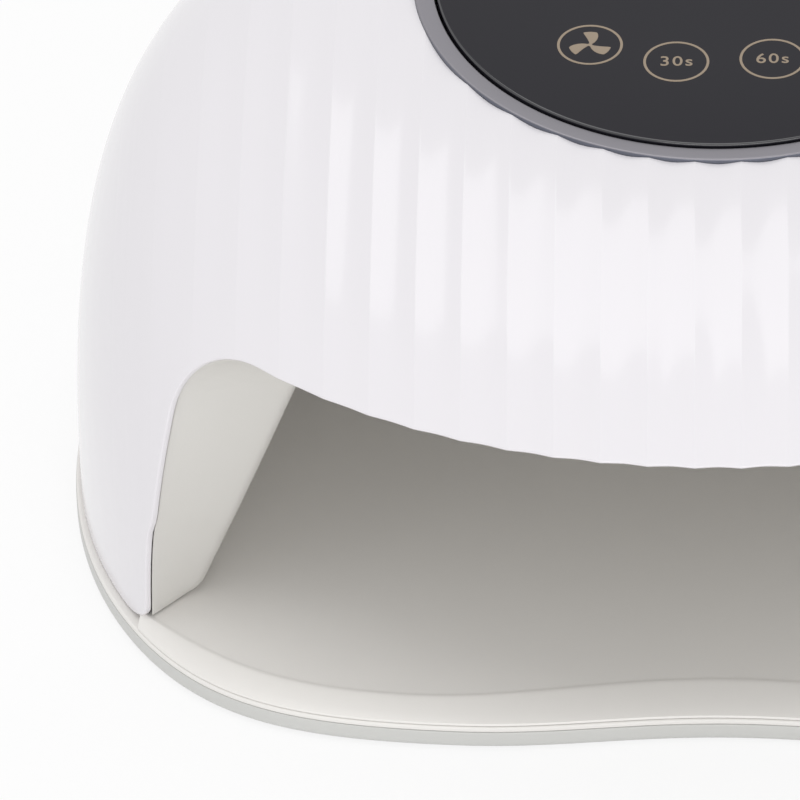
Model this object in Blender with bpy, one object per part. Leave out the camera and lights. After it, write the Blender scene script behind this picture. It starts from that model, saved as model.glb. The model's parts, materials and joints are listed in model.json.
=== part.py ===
# LED nail lamp: a fluted dome over a hand space, standing on a tray that lifts away.
# Metres, +Z up. The hand goes in along +Y. The origin is the middle of the underside.

import math

import bmesh
import bpy
import numpy as np
from mathutils import Matrix, Vector

# Gaps between neighbours
TOUCH_GAP = 0.0003
LOOSE_GAP = 0.0004
OVERRUN = 0.006

# Dome: a stack of rounded sections from the foot up to the tilted ring
SHELL_HALF_WIDTH = 0.11596
SHELL_FRONT_REACH = 0.11474
SHELL_REAR_REACH = 0.1012
SHELL_SECTION_SHIFT = -0.00163
RING_RADIUS = 0.05364
RING_CENTRE_Y = 0.00443
RING_CENTRE_Z = 0.09735
RING_TILT = math.radians(7.4)
SHELL_WALL = 0.0022
SIDE_PROFILE_POWER = 2.92
FRONT_PROFILE_POWER = 2.53
CROWN_SHARE = 0.05
PLAN_POWER = 2.18
PLAN_RUN_POWER = 2.08
PLAN_SLACK_SHARE = 0.223
DOME_ROWS = 17
HOLLOW_ROWS = 15
HOLLOW_COLUMNS = 25

# Flutes: shallow hollows between sharp ridges, side by side across the dome
FLUTE_PITCH = 0.00785
FLUTE_DEPTH = 0.00045
FLUTE_FLAT_SHARE = 1 / 6
FLUTE_SIDE_MARGIN = 0.006

# Hand opening cut in the dome's front
LEG_WIDTH = 0.01566
OPENING_TOP_DROP = 0.0346
OPENING_DRAFT = math.radians(5.6)
OPENING_CORNER_RADIUS = 0.016
LEG_CUT_DEPTH = 0.0147

# Tray: pan, lid and raised floor plate
FOOT_PROUD = 0.0005
PAN_HEIGHT = 0.0031
LID_HEIGHT = 0.0008
FLOOR_PLATE_HEIGHT = 0.0018
TRAY_MARGIN = 0.0013
TRAY_FRONT_SETBACK = 0.02097
TRAY_DIP_DEPTH = 0.0035
TRAY_DIP_HALF_WIDTH = 0.045
TRAY_BLEND_POWER = 12
TRAY_LID_INSET = 0.0004
TRAY_POINTS = 66
FLOOR_LEG_GAP = 0.0006
FLOOR_SLOPE_SIDE = 0.0005
FLOOR_SLOPE_FRONT = 0.0062
FLOOR_SLOPE_DIP = 0.0023
FLOOR_FRONT_INSET = 0.0010
FLOOR_REAR_INSET = 0.0100

# Feet, magnets and screws of the tray
FOOT_RADIUS = 0.0065
FOOT_HEIGHT = 0.0012
FOOT_SIDE_INSET = 0.03596
FOOT_FRONT_INSET = 0.06037
FOOT_REAR_INSET = 0.03957
MAGNET_RADIUS = 0.0040
MAGNET_HEIGHT = 0.0018
MAGNET_SIDE_INSET = 0.02146
MAGNET_PLACE_Y = -0.010
SCREW_RADIUS = 0.0012
SCREW_HEAD_RADIUS = 0.0022
SCREW_HEAD_HEIGHT = 0.0010
TRAY_SCREW_SIDE_INSET = 0.05596
TRAY_SCREW_FRONT_INSET = 0.05637
TRAY_SCREW_REAR_INSET = 0.04957
TRAY_SCREW_SKIN = 0.0006

# Liner: the hollow that the hand goes into
LINER_WALL = 0.0016
FLANGE_WIDTH = 0.0093
MOUTH_SETBACK = 0.06307
LINER_TAPER = 0.10
LINER_DRAFT = math.radians(23.8)
CEILING_DROP = 0.00475
LINER_CORNER_RADIUS = 0.014
REAR_BAY_DEPTH = 0.02757
LINER_BACK_ROUND = 0.014
LINER_LIP_SETBACK = 0.0018
FLANGE_DEPTH = 0.011
SIDE_STEPS = 4
CORNER_STEPS = 5
CEILING_STEPS = 6
TUNNEL_STEPS = 4
BACK_STEPS = 4

# Bottom cover between liner and shell, its screws and the posts that they enter
COVER_HEIGHT = 0.0018
COVER_GAP = 0.0010
COVER_FRONT_GAP = 0.0051
POST_RADIUS = 0.0035
POST_LEG_SIDE_INSET = 0.01246
POST_LEG_SETBACK = 0.014
POST_REAR_X = 0.052
POST_WALL_INSET = 0.0076
POST_HOLE_DEPTH = 0.009

# Light boards and beads
BOARD_THICKNESS = 0.0016
BEAD_RADIUS = 0.00175
BEAD_HOLE_RADIUS = 0.0022
BEAD_CROWN_SHARE = 0.7
BEAD_SIDES = 6
BEAD_RECESS = 0.0001
TOP_BEAD_PITCH_X = 0.018
TOP_BEAD_PITCH_Y = 0.026
TOP_BEAD_REAR_SETBACK = 0.052
SIDE_BEAD_PITCH = 0.026
SIDE_BEAD_SETBACK = 0.0123
SIDE_BOARD_Z = 0.0260
REAR_BEAD_PITCH = 0.024
REAR_BEAD_COUNT = 4
REAR_BOARD_Z = 0.0185
BOARD_EDGE = 0.006

# Hand sensor in the ceiling, just behind the opening
SENSOR_SETBACK = 0.0191
SENSOR_SPACING = 0.012
SENSOR_RADIUS = 0.0015
SENSOR_BOARD_SHARE = 0.7

# Heat sink and fan above the top board
SINK_HALF_WIDTH = 0.033
SINK_HALF_DEPTH = 0.032
SINK_REAR_SETBACK = 0.054
SINK_BASE = 0.0015
FIN_HEIGHT = 0.0055
FIN_THICKNESS = 0.0016
FIN_PITCH = 0.008
FIN_COUNT = 8
FAN_HALF_WIDTH = 0.020
FAN_HEIGHT = 0.010
FAN_BORE_RADIUS = 0.0186
FAN_HOLE_OFFSET = 0.016
FAN_FLOOR = 0.0012
FAN_STRUT_WIDTH = 0.0022
FAN_HUB_RADIUS = 0.0080
FAN_TIP_GAP = 0.0008
FAN_BLADE_COUNT = 7
FAN_BLADE_THICKNESS = 0.0008
FAN_BLADE_PITCH = math.radians(38)
FAN_BLADE_CHORD_SHARE = 0.7
FAN_SHAFT_RADIUS = 0.0010
FAN_BEARING_WALL = 0.0010
FAN_BEARING_HEIGHT = 0.0060
FAN_SCREW_REACH = 0.004

# Touch panel and its bezel, in the ring's own tilted frame
RING_SIDES = 48
BEZEL_PROUD = 0.0005
BEZEL_SEAT = 0.0010
BEZEL_TOP_WIDTH = 0.0034
BEZEL_CHAMFER = 0.00022
BEZEL_SKIRT_WALL = 0.0011
BEZEL_SKIRT_DEPTH = 0.0070
PANEL_GAP = 0.0004
PANEL_PROUD = 0.0003
PANEL_THICKNESS = 0.0020
PANEL_CHAMFER = 0.0005
LOCK_RING_WIDTH = 0.0026
LOCK_RING_HEIGHT = 0.0018
LOCK_RING_GAP = 0.0013
CARRIER_THICKNESS = 0.0018
CARRIER_WALL = 0.0016
CARRIER_WALL_DEPTH = 0.0024
CARRIER_BOSS_RADIUS = 0.0030
PCB_RADIUS = 0.044
PCB_DROP = 0.0041
BOARD_SCREW_PLACE = 0.036
DISPLAY_HALF_WIDTH = 0.0150
DISPLAY_HALF_DEPTH = 0.0070
DISPLAY_Y = 0.020
TOUCH_PAD_RADIUS = 0.0045
TOUCH_INNER_PLACE = 0.0259
TOUCH_OUTER_PLACE = 0.0298
TOUCH_INNER_TURN = math.radians(19)
TOUCH_OUTER_TURN = math.radians(51.4)
TOUCH_LAYOUT_TWIST = math.radians(3)

# Rear: power inlet, vents and driver board
JACK_Z = 0.0225
JACK_RADIUS = 0.0045
JACK_BORE_RADIUS = 0.00275
JACK_BORE_DEPTH = 0.008
JACK_PIN_RADIUS = 0.0010
JACK_LENGTH = 0.012
JACK_COLLAR_WIDTH = 0.002
JACK_COLLAR_HEIGHT = 0.0015
JACK_RECESS = 0.0008
VENT_COUNT = 9
VENT_WIDTH = 0.0024
VENT_HEIGHT = 0.018
VENT_Z = 0.058
DRIVER_HALF_WIDTH = 0.030
DRIVER_LOW_Z = 0.0268
DRIVER_HEIGHT = 0.0170
STANDOFF_HEIGHT = 0.0040
STANDOFF_RADIUS = 0.0020
COIL_RADIUS = 0.0050
COIL_HEIGHT = 0.0045
COIL_X = -0.018
CAPACITOR_RADIUS = 0.0030
CAPACITOR_HEIGHT = 0.0070
CAPACITOR_X = 0.019
LEAD_RADIUS = 0.0010
LEAD_SIDES_LEVEL = 1
LEAD_END_GAP = 0.0005
LEAD_PLUG_SHARE = 0.8

# Places that follow from the dome's outline
FRONT_END_Y = SHELL_SECTION_SHIFT - SHELL_FRONT_REACH
REAR_END_Y = SHELL_SECTION_SHIFT + SHELL_REAR_REACH
OPENING_HALF_WIDTH = SHELL_HALF_WIDTH - LEG_WIDTH
OPENING_TOP_Z = RING_CENTRE_Z - OPENING_TOP_DROP
TRAY_FRONT_LINE = -FRONT_END_Y - TRAY_FRONT_SETBACK
FLOOR_SIDE_LIMIT = OPENING_HALF_WIDTH - FLOOR_LEG_GAP
LINER_MOUTH_HALF_WIDTH = OPENING_HALF_WIDTH - FLANGE_WIDTH
LINER_MOUTH_Y = FRONT_END_Y + MOUTH_SETBACK
LINER_CEILING_Z = OPENING_TOP_Z - CEILING_DROP
LINER_BACK_Y = REAR_END_Y - REAR_BAY_DEPTH

# Heights that follow from the stack
PAN_TOP_Z = FOOT_PROUD + PAN_HEIGHT
LID_Z = PAN_TOP_Z + TOUCH_GAP
LID_TOP_Z = LID_Z + LID_HEIGHT
FOOT_Z = LID_TOP_Z + TOUCH_GAP
FLOOR_PLATE_Z = LID_TOP_Z + TOUCH_GAP
FLOOR_Z = FLOOR_PLATE_Z + FLOOR_PLATE_HEIGHT
LINER_Z = FLOOR_Z + TOUCH_GAP
COVER_TOP_Z = LINER_Z + COVER_HEIGHT
TOP_BOARD_Z = LINER_CEILING_Z + LINER_WALL + TOUCH_GAP
SINK_Z = TOP_BOARD_Z + BOARD_THICKNESS + TOUCH_GAP
FAN_Z = SINK_Z + SINK_BASE + FIN_HEIGHT + TOUCH_GAP
BOARD_STACK = LINER_WALL + TOUCH_GAP

# Places in the ring's frame that follow from the bezel
BEZEL_RADIUS = RING_RADIUS
BEZEL_INNER_RADIUS = BEZEL_RADIUS - BEZEL_TOP_WIDTH
BEZEL_SKIRT_RADIUS = BEZEL_INNER_RADIUS + BEZEL_SKIRT_WALL
PANEL_RADIUS = BEZEL_INNER_RADIUS - PANEL_GAP
PANEL_TOP = BEZEL_PROUD + PANEL_PROUD
PANEL_LOW = PANEL_TOP - PANEL_THICKNESS
CARRIER_TOP = PANEL_LOW - TOUCH_GAP
CARRIER_LOW = CARRIER_TOP - CARRIER_THICKNESS
PCB_TOP = CARRIER_LOW - PCB_DROP
PCB_LOW = PCB_TOP - BOARD_THICKNESS


# Colour, roughness and metallic of the finishes that several pieces share
STEEL = ((0.60, 0.60, 0.62), 0.35, 1.0)
RUBBER = ((0.12, 0.12, 0.12), 0.85)
BLACK_PLASTIC = ((0.03, 0.03, 0.03), 0.5)
TRAY_PLASTIC = ((0.68, 0.67, 0.65), 0.42)
BOARD_GREEN = ((0.05, 0.25, 0.12), 0.5)
BOARD_WHITE = ((0.80, 0.80, 0.78), 0.5)


def clear_scene():
    for item in list(bpy.data.objects):
        bpy.data.objects.remove(item, do_unlink=True)


def finish(name, colour, roughness, metallic=0.0):
    """A plain material with the piece's own colour."""
    material = bpy.data.materials.new(name)
    material.use_nodes = True
    shader = material.node_tree.nodes["Principled BSDF"]
    shader.inputs["Base Color"].default_value = (*colour, 1.0)
    shader.inputs["Roughness"].default_value = roughness
    shader.inputs["Metallic"].default_value = metallic
    return material


def add_piece(name, shape, look, parent=None, origin=(0, 0, 0)):
    """Make one object from points and faces, with its faces pointing out."""
    points, faces = shape
    mesh = bpy.data.meshes.new(name)
    mesh.from_pydata([tuple(point) for point in points], [], faces)
    work = bmesh.new()
    work.from_mesh(mesh)
    bmesh.ops.recalc_face_normals(work, faces=work.faces)
    work.to_mesh(mesh)
    work.free()
    piece = bpy.data.objects.new(name, mesh)
    bpy.context.scene.collection.objects.link(piece)
    piece.location = origin
    piece.parent = parent
    if look is not None:
        mesh.materials.append(finish(name + "_finish", *look))
    mesh.shade_smooth()
    mesh.set_sharp_from_angle(angle=math.radians(30))
    return piece


def add_copies(name, shape, places, look, parent=None):
    """One object for each place, numbered from 1, all with the same shape."""
    for number, (x, y) in enumerate(places, start=1):
        add_piece(f"{name}_{number}", shifted(shape, x, y), look, parent)


def add_guide(name, shape, parent=None):
    """A cutter or filler that shapes another piece and isn't part of the object."""
    guide = add_piece(name, shape, None, parent)
    guide.hide_render = True
    guide.display_type = "WIRE"
    return guide


def combine(piece, guide, operation="DIFFERENCE"):
    step = piece.modifiers.new(guide.name, "BOOLEAN")
    step.operation = operation
    step.object = guide


def cut(piece, name, shape):
    """Cut a shape, given in the piece's own frame, out of the piece."""
    guide = add_guide(name, shape, piece.parent)
    guide.location = piece.location
    combine(piece, guide)
    return guide


def moved(shape, matrix):
    points, faces = shape
    return [tuple(matrix @ Vector(point)) for point in points], faces


def shifted(shape, x=0, y=0, z=0):
    return moved(shape, Matrix.Translation((x, y, z)))


def joined(shapes):
    """Several separate solids in one node."""
    points, faces = [], []
    for part_points, part_faces in shapes:
        start = len(points)
        points.extend(part_points)
        faces.extend([tuple(start + index for index in face) for face in part_faces])
    return points, faces


def prism_faces(count):
    """The faces of a prism whose two ends have count points each."""
    faces = [tuple(range(count - 1, -1, -1)), tuple(range(count, 2 * count))]
    for index in range(count):
        after = (index + 1) % count
        faces.append((index, after, count + after, count + index))
    return faces


def plate(outline, low, high):
    """An outline in X and Y, from one height to another."""
    points = [(x, y, low) for x, y in outline] + [(x, y, high) for x, y in outline]
    return points, prism_faces(len(outline))


def block(half_x, half_y, low, high, x=0, y=0):
    outline = [(x - half_x, y - half_y), (x + half_x, y - half_y),
               (x + half_x, y + half_y), (x - half_x, y + half_y)]
    return plate(outline, low, high)


def circle(radius, sides, x=0, y=0):
    turns = [2 * math.pi * step / sides for step in range(sides)]
    return [(x + radius * math.cos(turn), y + radius * math.sin(turn)) for turn in turns]


def rod(radius, low, high, sides=12, x=0, y=0):
    return plate(circle(radius, sides, x, y), low, high)


def turned(profile, sides):
    """Turn a closed profile of radius and height about Z."""
    points, faces, rings = [], [], []
    for radius, height in profile:
        if radius == 0:
            rings.append([len(points)] * sides)
            points.append((0, 0, height))
        else:
            rings.append(list(range(len(points), len(points) + sides)))
            points.extend((x, y, height) for x, y in circle(radius, sides))
    for ring, following in zip(rings, rings[1:] + rings[:1]):
        if ring[0] == ring[1] and following[0] == following[1]:
            continue
        for index in range(sides):
            after = (index + 1) % sides
            corners = [ring[index], ring[after], following[after], following[index]]
            faces.append(tuple(dict.fromkeys(corners)))
    return points, faces


def lofted(loops):
    """Closed loops of equal count, bridged in turn and capped at both ends."""
    count = len(loops[0])
    points = [tuple(point) for loop in loops for point in loop]
    faces = [tuple(range(count)), tuple(range(len(points) - count, len(points)))]
    for row in range(len(loops) - 1):
        for index in range(count):
            after = (index + 1) % count
            start = row * count
            faces.append((start + index, start + after,
                          start + count + after, start + count + index))
    return points, faces


def screw(head_low, head_high, tip, sides=12):
    """A screw on Z whose head lies between two heights and whose tip is at a third."""
    near = head_high if tip > head_high else head_low
    far = head_low if tip > head_high else head_high
    profile = [(0, far), (SCREW_HEAD_RADIUS, far), (SCREW_HEAD_RADIUS, near),
               (SCREW_RADIUS, near), (SCREW_RADIUS, tip), (0, tip)]
    return turned(profile, sides)


# The dome's shape

def swell(rise, power):
    """How far a section has grown from the ring (0) to the foot (1) at a relative height."""
    crown = (1 - CROWN_SHARE ** power) ** (1 / power)
    level = np.clip(rise, 0, 1) * crown
    share = ((1 - level ** power) ** (1 / power) - CROWN_SHARE) / (1 - CROWN_SHARE)
    return np.clip(share, 0, 1)


def dome_measure(x, y, z, inset):
    """Below 1 inside the dome and above 1 outside it, with the dome drawn in by inset."""
    ring_run = RING_RADIUS * math.cos(RING_TILT)
    ring_z = RING_CENTRE_Z - inset + (y - RING_CENTRE_Y) * math.tan(RING_TILT)
    rise = (z - FOOT_Z) / (ring_z - FOOT_Z)
    side = swell(rise, SIDE_PROFILE_POWER)
    run = swell(rise, FRONT_PROFILE_POWER)
    half_width = RING_RADIUS + (SHELL_HALF_WIDTH - inset - RING_RADIUS) * side
    centre = RING_CENTRE_Y + (SHELL_SECTION_SHIFT - RING_CENTRE_Y) * run
    reach = np.where(y < centre, SHELL_FRONT_REACH, SHELL_REAR_REACH) - inset
    half_depth = ring_run + (reach - ring_run) * run
    power = (2 + (PLAN_POWER - 2) * side ** PLAN_RUN_POWER
             - 4 * PLAN_SLACK_SHARE * side * (1 - side))
    across = np.abs(x / half_width) ** power
    along = np.abs((y - centre) / half_depth) ** power
    return np.maximum((across + along) ** (1 / power), rise)


def dome_wall(x, z, side):
    """The Y of the dome's surface at a place in X and Z: side is -1 in front and 1 behind."""
    inside = np.full(x.shape, SHELL_SECTION_SHIFT)
    outside = np.full(x.shape, 2 * side * (SHELL_FRONT_REACH + SHELL_REAR_REACH))
    for _ in range(40):
        middle = (inside + outside) / 2
        within = dome_measure(x, middle, z, 0) < 1
        inside = np.where(within, middle, inside)
        outside = np.where(within, outside, middle)
    return inside


def wall_y(x, z, side):
    """The same at one place, as a plain number."""
    return float(dome_wall(np.array([x]), np.array([z]), side)[0])


def dome_arch(x, inset, rows):
    """Points from the front foot over the dome to the rear foot, in the plane at X."""
    count = 160
    turn = np.linspace(0, math.pi, count)
    near = np.zeros(count)
    far = np.full(count, 2 * SHELL_HALF_WIDTH)
    for _ in range(40):
        middle = (near + far) / 2
        y = SHELL_SECTION_SHIFT - middle * np.cos(turn)
        z = FOOT_Z + middle * np.sin(turn)
        within = dome_measure(np.full(count, x), y, z, inset) < 1
        near = np.where(within, middle, near)
        far = np.where(within, far, middle)
    y = SHELL_SECTION_SHIFT - near * np.cos(turn)
    z = FOOT_Z + near * np.sin(turn)
    step = np.hypot(np.diff(y), np.diff(z))
    heading = np.unwrap(np.arctan2(np.diff(z), np.diff(y)))
    bend = np.abs(np.diff(heading, prepend=heading[0]))
    travel = step / step.sum() + bend / (bend.sum() + 1e-9)
    along = np.concatenate([[0], np.cumsum(travel)])
    wanted = np.linspace(0, along[-1], rows + 1)
    arch = np.stack([np.full(rows + 1, x), np.interp(wanted, along, y),
                     np.interp(wanted, along, z)], axis=1)
    arch[0, 2] = FOOT_Z
    arch[-1, 2] = FOOT_Z
    return arch


def flute_half_count():
    """How many flutes there are on each side of the one in the middle."""
    return int((SHELL_HALF_WIDTH - FLUTE_SIDE_MARGIN) / FLUTE_PITCH - 0.5)


def flute_columns():
    """X of every ridge and of the two lines that bound each hollow's flat, both sides."""
    half_count = flute_half_count()
    columns = []
    for number in range(-half_count, half_count + 1):
        centre = number * FLUTE_PITCH
        columns.append(centre - FLUTE_PITCH / 2)
        columns.append(centre - FLUTE_PITCH * FLUTE_FLAT_SHARE)
        columns.append(centre + FLUTE_PITCH * FLUTE_FLAT_SHARE)
    edge = (half_count + 0.5) * FLUTE_PITCH
    columns.append(edge)
    side_shares = (0.35, 0.62, 0.82, 0.94, 0.985)
    side = [edge + (SHELL_HALF_WIDTH - edge) * share for share in side_shares]
    return np.array([-x for x in reversed(side)] + columns + side)


def fluted(grid):
    """Draw the hollows of the flutes into the dome's grid of points."""
    along = np.gradient(grid, axis=1)
    across = np.gradient(grid, axis=0)
    normal = np.cross(across, along)
    normal /= np.linalg.norm(normal, axis=2, keepdims=True) + 1e-12
    place = grid[:, :, 0] / FLUTE_PITCH
    share = place - np.round(place)
    fade = (1 - normal[:, :, 0] ** 2) * (np.abs(place) < flute_half_count() + 0.5)
    hollow = FLUTE_DEPTH * (1 - (2 * share) ** 2) * fade
    centre = np.array([0, SHELL_SECTION_SHIFT, FOOT_Z])
    outward = np.sign(np.sum(normal * (grid - centre), axis=2))
    result = grid - normal * (hollow * outward)[:, :, None]
    result[:, 0, 2] = FOOT_Z
    result[:, -1, 2] = FOOT_Z
    return result


def arch_solid(grid, below):
    """Close a grid of arches into a solid, lengthened downwards by below."""
    if below > 0:
        first = grid[:, :1].copy()
        last = grid[:, -1:].copy()
        first[:, :, 2] -= below
        last[:, :, 2] -= below
        grid = np.concatenate([first, grid, last], axis=1)
    columns, rows = grid.shape[:2]
    points = [tuple(point) for point in grid.reshape(-1, 3)]
    faces = []
    for column in range(columns - 1):
        start, following = column * rows, (column + 1) * rows
        for row in range(rows - 1):
            faces.append((start + row, following + row, following + row + 1, start + row + 1))
        faces.append((start, start + rows - 1, following + rows - 1, following))
    faces.append(tuple(range(rows)))
    faces.append(tuple(range((columns - 1) * rows, columns * rows)))
    return points, faces


def dome_solid():
    grid = np.stack([dome_arch(x, 0, DOME_ROWS) for x in flute_columns()])
    return arch_solid(fluted(grid), 0)


def dome_blank(inset):
    """The smooth dome drawn in by inset, for hollowing the shell."""
    half = SHELL_HALF_WIDTH - inset
    turns = np.linspace(-math.pi / 2, math.pi / 2, HOLLOW_COLUMNS + 2)[1:-1]
    grid = np.stack([dome_arch(half * math.sin(turn), inset, HOLLOW_ROWS) for turn in turns])
    return arch_solid(grid, OVERRUN)


def inner_foot_outline(inset, count):
    """The dome's outline at the foot, drawn in by inset."""
    outline = []
    for turn in np.linspace(0, 2 * math.pi, count, endpoint=False):
        reach = SHELL_FRONT_REACH if math.sin(turn) < 0 else SHELL_REAR_REACH
        x = rounded(math.cos(turn), PLAN_POWER) * (SHELL_HALF_WIDTH - inset)
        y = rounded(math.sin(turn), PLAN_POWER) * (reach - inset)
        outline.append((x, SHELL_SECTION_SHIFT + y))
    return outline


def rounded(value, power):
    return math.copysign(abs(value) ** (2 / power), value)


# Profiles of the opening and of the liner, in X and Z

def arch_half(half_width, base_z, top_z, draft, radius, steps):
    """Half a drafted arch with a round upper corner, from the floor to the middle."""
    side_steps, corner_steps, top_steps = steps
    half_width = np.asarray(half_width, dtype=float)
    corner_z = top_z - radius
    corner_x = (half_width - math.tan(draft) * (corner_z - base_z)
                - radius / math.cos(draft))
    points = []
    start_z = corner_z + radius * math.sin(draft)
    for step in range(side_steps):
        z = base_z + (start_z - base_z) * step / side_steps
        points.append((half_width - math.tan(draft) * (z - base_z), z + 0 * half_width))
    for step in range(corner_steps + 1):
        turn = draft + (math.pi / 2 - draft) * step / corner_steps
        points.append((corner_x + radius * math.cos(turn),
                       corner_z + radius * math.sin(turn) + 0 * half_width))
    for step in range(1, top_steps + 1):
        points.append((corner_x * (1 - step / top_steps), top_z + 0 * half_width))
    return points


def opening_arch(shrink, base_z, steps):
    """The hand opening's outline, drawn in by shrink."""
    half_width = (OPENING_HALF_WIDTH - shrink
                  - math.tan(OPENING_DRAFT) * (base_z - FOOT_Z))
    return arch_half(half_width, base_z, OPENING_TOP_Z - shrink, OPENING_DRAFT,
                     OPENING_CORNER_RADIUS - shrink, steps)


def leg_cut_back_y():
    """How far back the opening is cut: past the wall of the legs."""
    return wall_y(OPENING_HALF_WIDTH, FOOT_Z, -1) + LEG_CUT_DEPTH


def opening_prism():
    steps = (1, CORNER_STEPS, 1)
    half = opening_arch(0, FOOT_Z - OVERRUN, steps)
    right = [(float(x), float(z)) for x, z in half[:-1]]
    outline = right + [(-x, z) for x, z in reversed(right)]
    front = -(SHELL_FRONT_REACH + OVERRUN)
    points = [(x, front, z) for x, z in outline]
    points += [(x, leg_cut_back_y(), z) for x, z in outline]
    return points, prism_faces(len(outline))


def liner_half_width(y):
    return LINER_MOUTH_HALF_WIDTH - LINER_TAPER * (y - LINER_MOUTH_Y)


def liner_rows():
    """Half arches of the liner's inner face, from the lip at the front to the back."""
    steps = (SIDE_STEPS, CORNER_STEPS, CEILING_STEPS)
    lip = opening_arch(LOOSE_GAP, LINER_Z, steps)
    lip_x = np.array([float(x) for x, z in lip])
    lip_z = np.array([float(z) for x, z in lip])
    rim_y = dome_wall(lip_x, lip_z, -1)
    rows = [np.stack([lip_x, rim_y + LINER_LIP_SETBACK, lip_z], axis=1)]
    mouth_y = rim_y + FLANGE_DEPTH
    straight_end = LINER_BACK_Y - LINER_BACK_ROUND
    for step in range(TUNNEL_STEPS + 1):
        y = mouth_y + (straight_end - mouth_y) * step / TUNNEL_STEPS
        rows.append(liner_row(y, 0, steps))
    for step in range(1, BACK_STEPS + 1):
        turn = math.pi / 2 * step / BACK_STEPS
        y = straight_end + LINER_BACK_ROUND * math.sin(turn)
        shrink = LINER_BACK_ROUND * (1 - math.cos(turn))
        rows.append(liner_row(np.full(len(mouth_y), y), shrink, steps))
    return np.stack(rows)


def liner_row(y, shrink, steps):
    half_width = liner_half_width(y) - shrink
    points = arch_half(half_width, LINER_Z, LINER_CEILING_Z - shrink, LINER_DRAFT,
                       LINER_CORNER_RADIUS, steps)
    x = np.array([float(pair[0][index]) for index, pair in enumerate(points)])
    z = np.array([float(pair[1][index]) for index, pair in enumerate(points)])
    return np.stack([x, y, z], axis=1)


def liner_grid(offset):
    """The liner's inner face, let out by offset, with its feet kept on the floor."""
    half = liner_rows()
    mirrored = half[:, ::-1][:, 1:] * np.array([-1, 1, 1])
    inner = np.concatenate([half, mirrored], axis=1)
    along = np.gradient(inner, axis=0)
    across = np.gradient(inner, axis=1)
    normal = np.cross(along, across)
    normal[:, 0, 2] = 0
    normal[:, -1, 2] = 0
    normal /= np.linalg.norm(normal, axis=2, keepdims=True)
    centre = np.array([0, LINER_MOUTH_Y, LINER_Z])
    normal *= np.sign(np.sum(normal * (inner - centre), axis=2, keepdims=True))
    # The front rim is square to Y, and so is the back
    normal[0] = (0, 1, 0)
    normal[-1] = (0, 1, 0)
    return inner + normal * offset


def liner_solid():
    """The liner as a wall of one thickness, open at the front and below."""
    return wall_solid(liner_grid(0), liner_grid(LINER_WALL))


def wall_solid(inner, outer):
    """A wall between two grids, closed at its front rim, its feet and its back."""
    rows, count = inner.shape[:2]
    size = rows * count
    points = [tuple(point) for point in inner.reshape(-1, 3)]
    points += [tuple(point) for point in outer.reshape(-1, 3)]
    faces = []
    for row in range(rows - 1):
        for index in range(count - 1):
            corner = row * count + index
            quad = (corner, corner + 1, corner + count + 1, corner + count)
            faces.append(quad)
            faces.append(tuple(size + place for place in reversed(quad)))
        for index in (0, count - 1):
            corner = row * count + index
            faces.append((corner, corner + count, size + corner + count, size + corner))
    for index in range(count - 1):
        faces.append((index, index + 1, size + index + 1, size + index))
    last = (rows - 1) * count
    faces.append(tuple(range(last, last + count)))
    faces.append(tuple(size + place for place in range(last, last + count)))
    faces.append((last, last + count - 1, size + last + count - 1, size + last))
    return points, faces


def liner_footprint(extra):
    """The liner's outline on the floor, let out by extra, and open far to the front."""
    feet = liner_grid(extra)[1:, 0, :2]
    right = [(float(x), float(y)) for x, y in feet]
    front = -(SHELL_FRONT_REACH + OVERRUN)
    right.insert(0, (right[0][0], front))
    return right + [(-x, y) for x, y in reversed(right)]


# Frames on the liner's faces: local Z points out of the hollow

def ceiling_frame(x, y):
    return Matrix.Translation((x, y, LINER_CEILING_Z))


def rear_frame(x, z):
    turn = Matrix.Rotation(-math.pi / 2, 4, "X")
    return Matrix.Translation((x, LINER_BACK_Y, z)) @ turn


def side_frame(y, z):
    """A frame on the right wall, with its X running back along the wall."""
    x = liner_half_width(y) - math.tan(LINER_DRAFT) * (z - LINER_Z)
    along = Vector((-LINER_TAPER, 1, 0)).normalized()
    outward = Vector((1, LINER_TAPER, math.tan(LINER_DRAFT))).normalized()
    up = outward.cross(along)
    frame = Matrix((along, up, outward)).transposed().to_4x4()
    frame.translation = (x, y, z)
    return frame


def mirrored_shape(shape):
    points, faces = shape
    return [(-x, y, z) for x, y, z in points], faces


def spread(pitch, count):
    return [pitch * (step - (count - 1) / 2) for step in range(count)]


def top_beads():
    """X of each column and Y of each row of beads that the flat of the ceiling takes."""
    rear_y = LINER_BACK_Y - TOP_BEAD_REAR_SETBACK
    drop = LINER_CEILING_Z - LINER_CORNER_RADIUS - LINER_Z
    flat_half = (liner_half_width(rear_y + BOARD_EDGE) - math.tan(LINER_DRAFT) * drop
                 - LINER_CORNER_RADIUS / math.cos(LINER_DRAFT))
    columns = 1 + int(2 * (flat_half - BOARD_EDGE) / TOP_BEAD_PITCH_X)
    front_y = wall_y(flat_half, OPENING_TOP_Z, -1) + FLANGE_DEPTH + BOARD_EDGE * 2
    rows = 1 + int((rear_y - front_y) / TOP_BEAD_PITCH_Y)
    return (spread(TOP_BEAD_PITCH_X, columns),
            [rear_y - TOP_BEAD_PITCH_Y * step for step in range(rows)])


def side_beads():
    """Y of each bead on a side wall, from the mouth to where the wall turns in."""
    first = LINER_MOUTH_Y + SIDE_BEAD_SETBACK
    room = LINER_BACK_Y - LINER_BACK_ROUND - BOARD_EDGE - first
    return [first + SIDE_BEAD_PITCH * step for step in range(1 + int(room / SIDE_BEAD_PITCH))]


def bead():
    """One light bead, from just inside the liner's face into its board."""
    low, high = BEAD_RECESS, BOARD_STACK + BOARD_THICKNESS / 2
    shoulder = low + (LINER_WALL - low) * BEAD_CROWN_SHARE / 2
    profile = [(0, low), (BEAD_RADIUS * BEAD_CROWN_SHARE, low), (BEAD_RADIUS, shoulder),
               (BEAD_RADIUS, high), (0, high)]
    return turned(profile, BEAD_SIDES)


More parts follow.
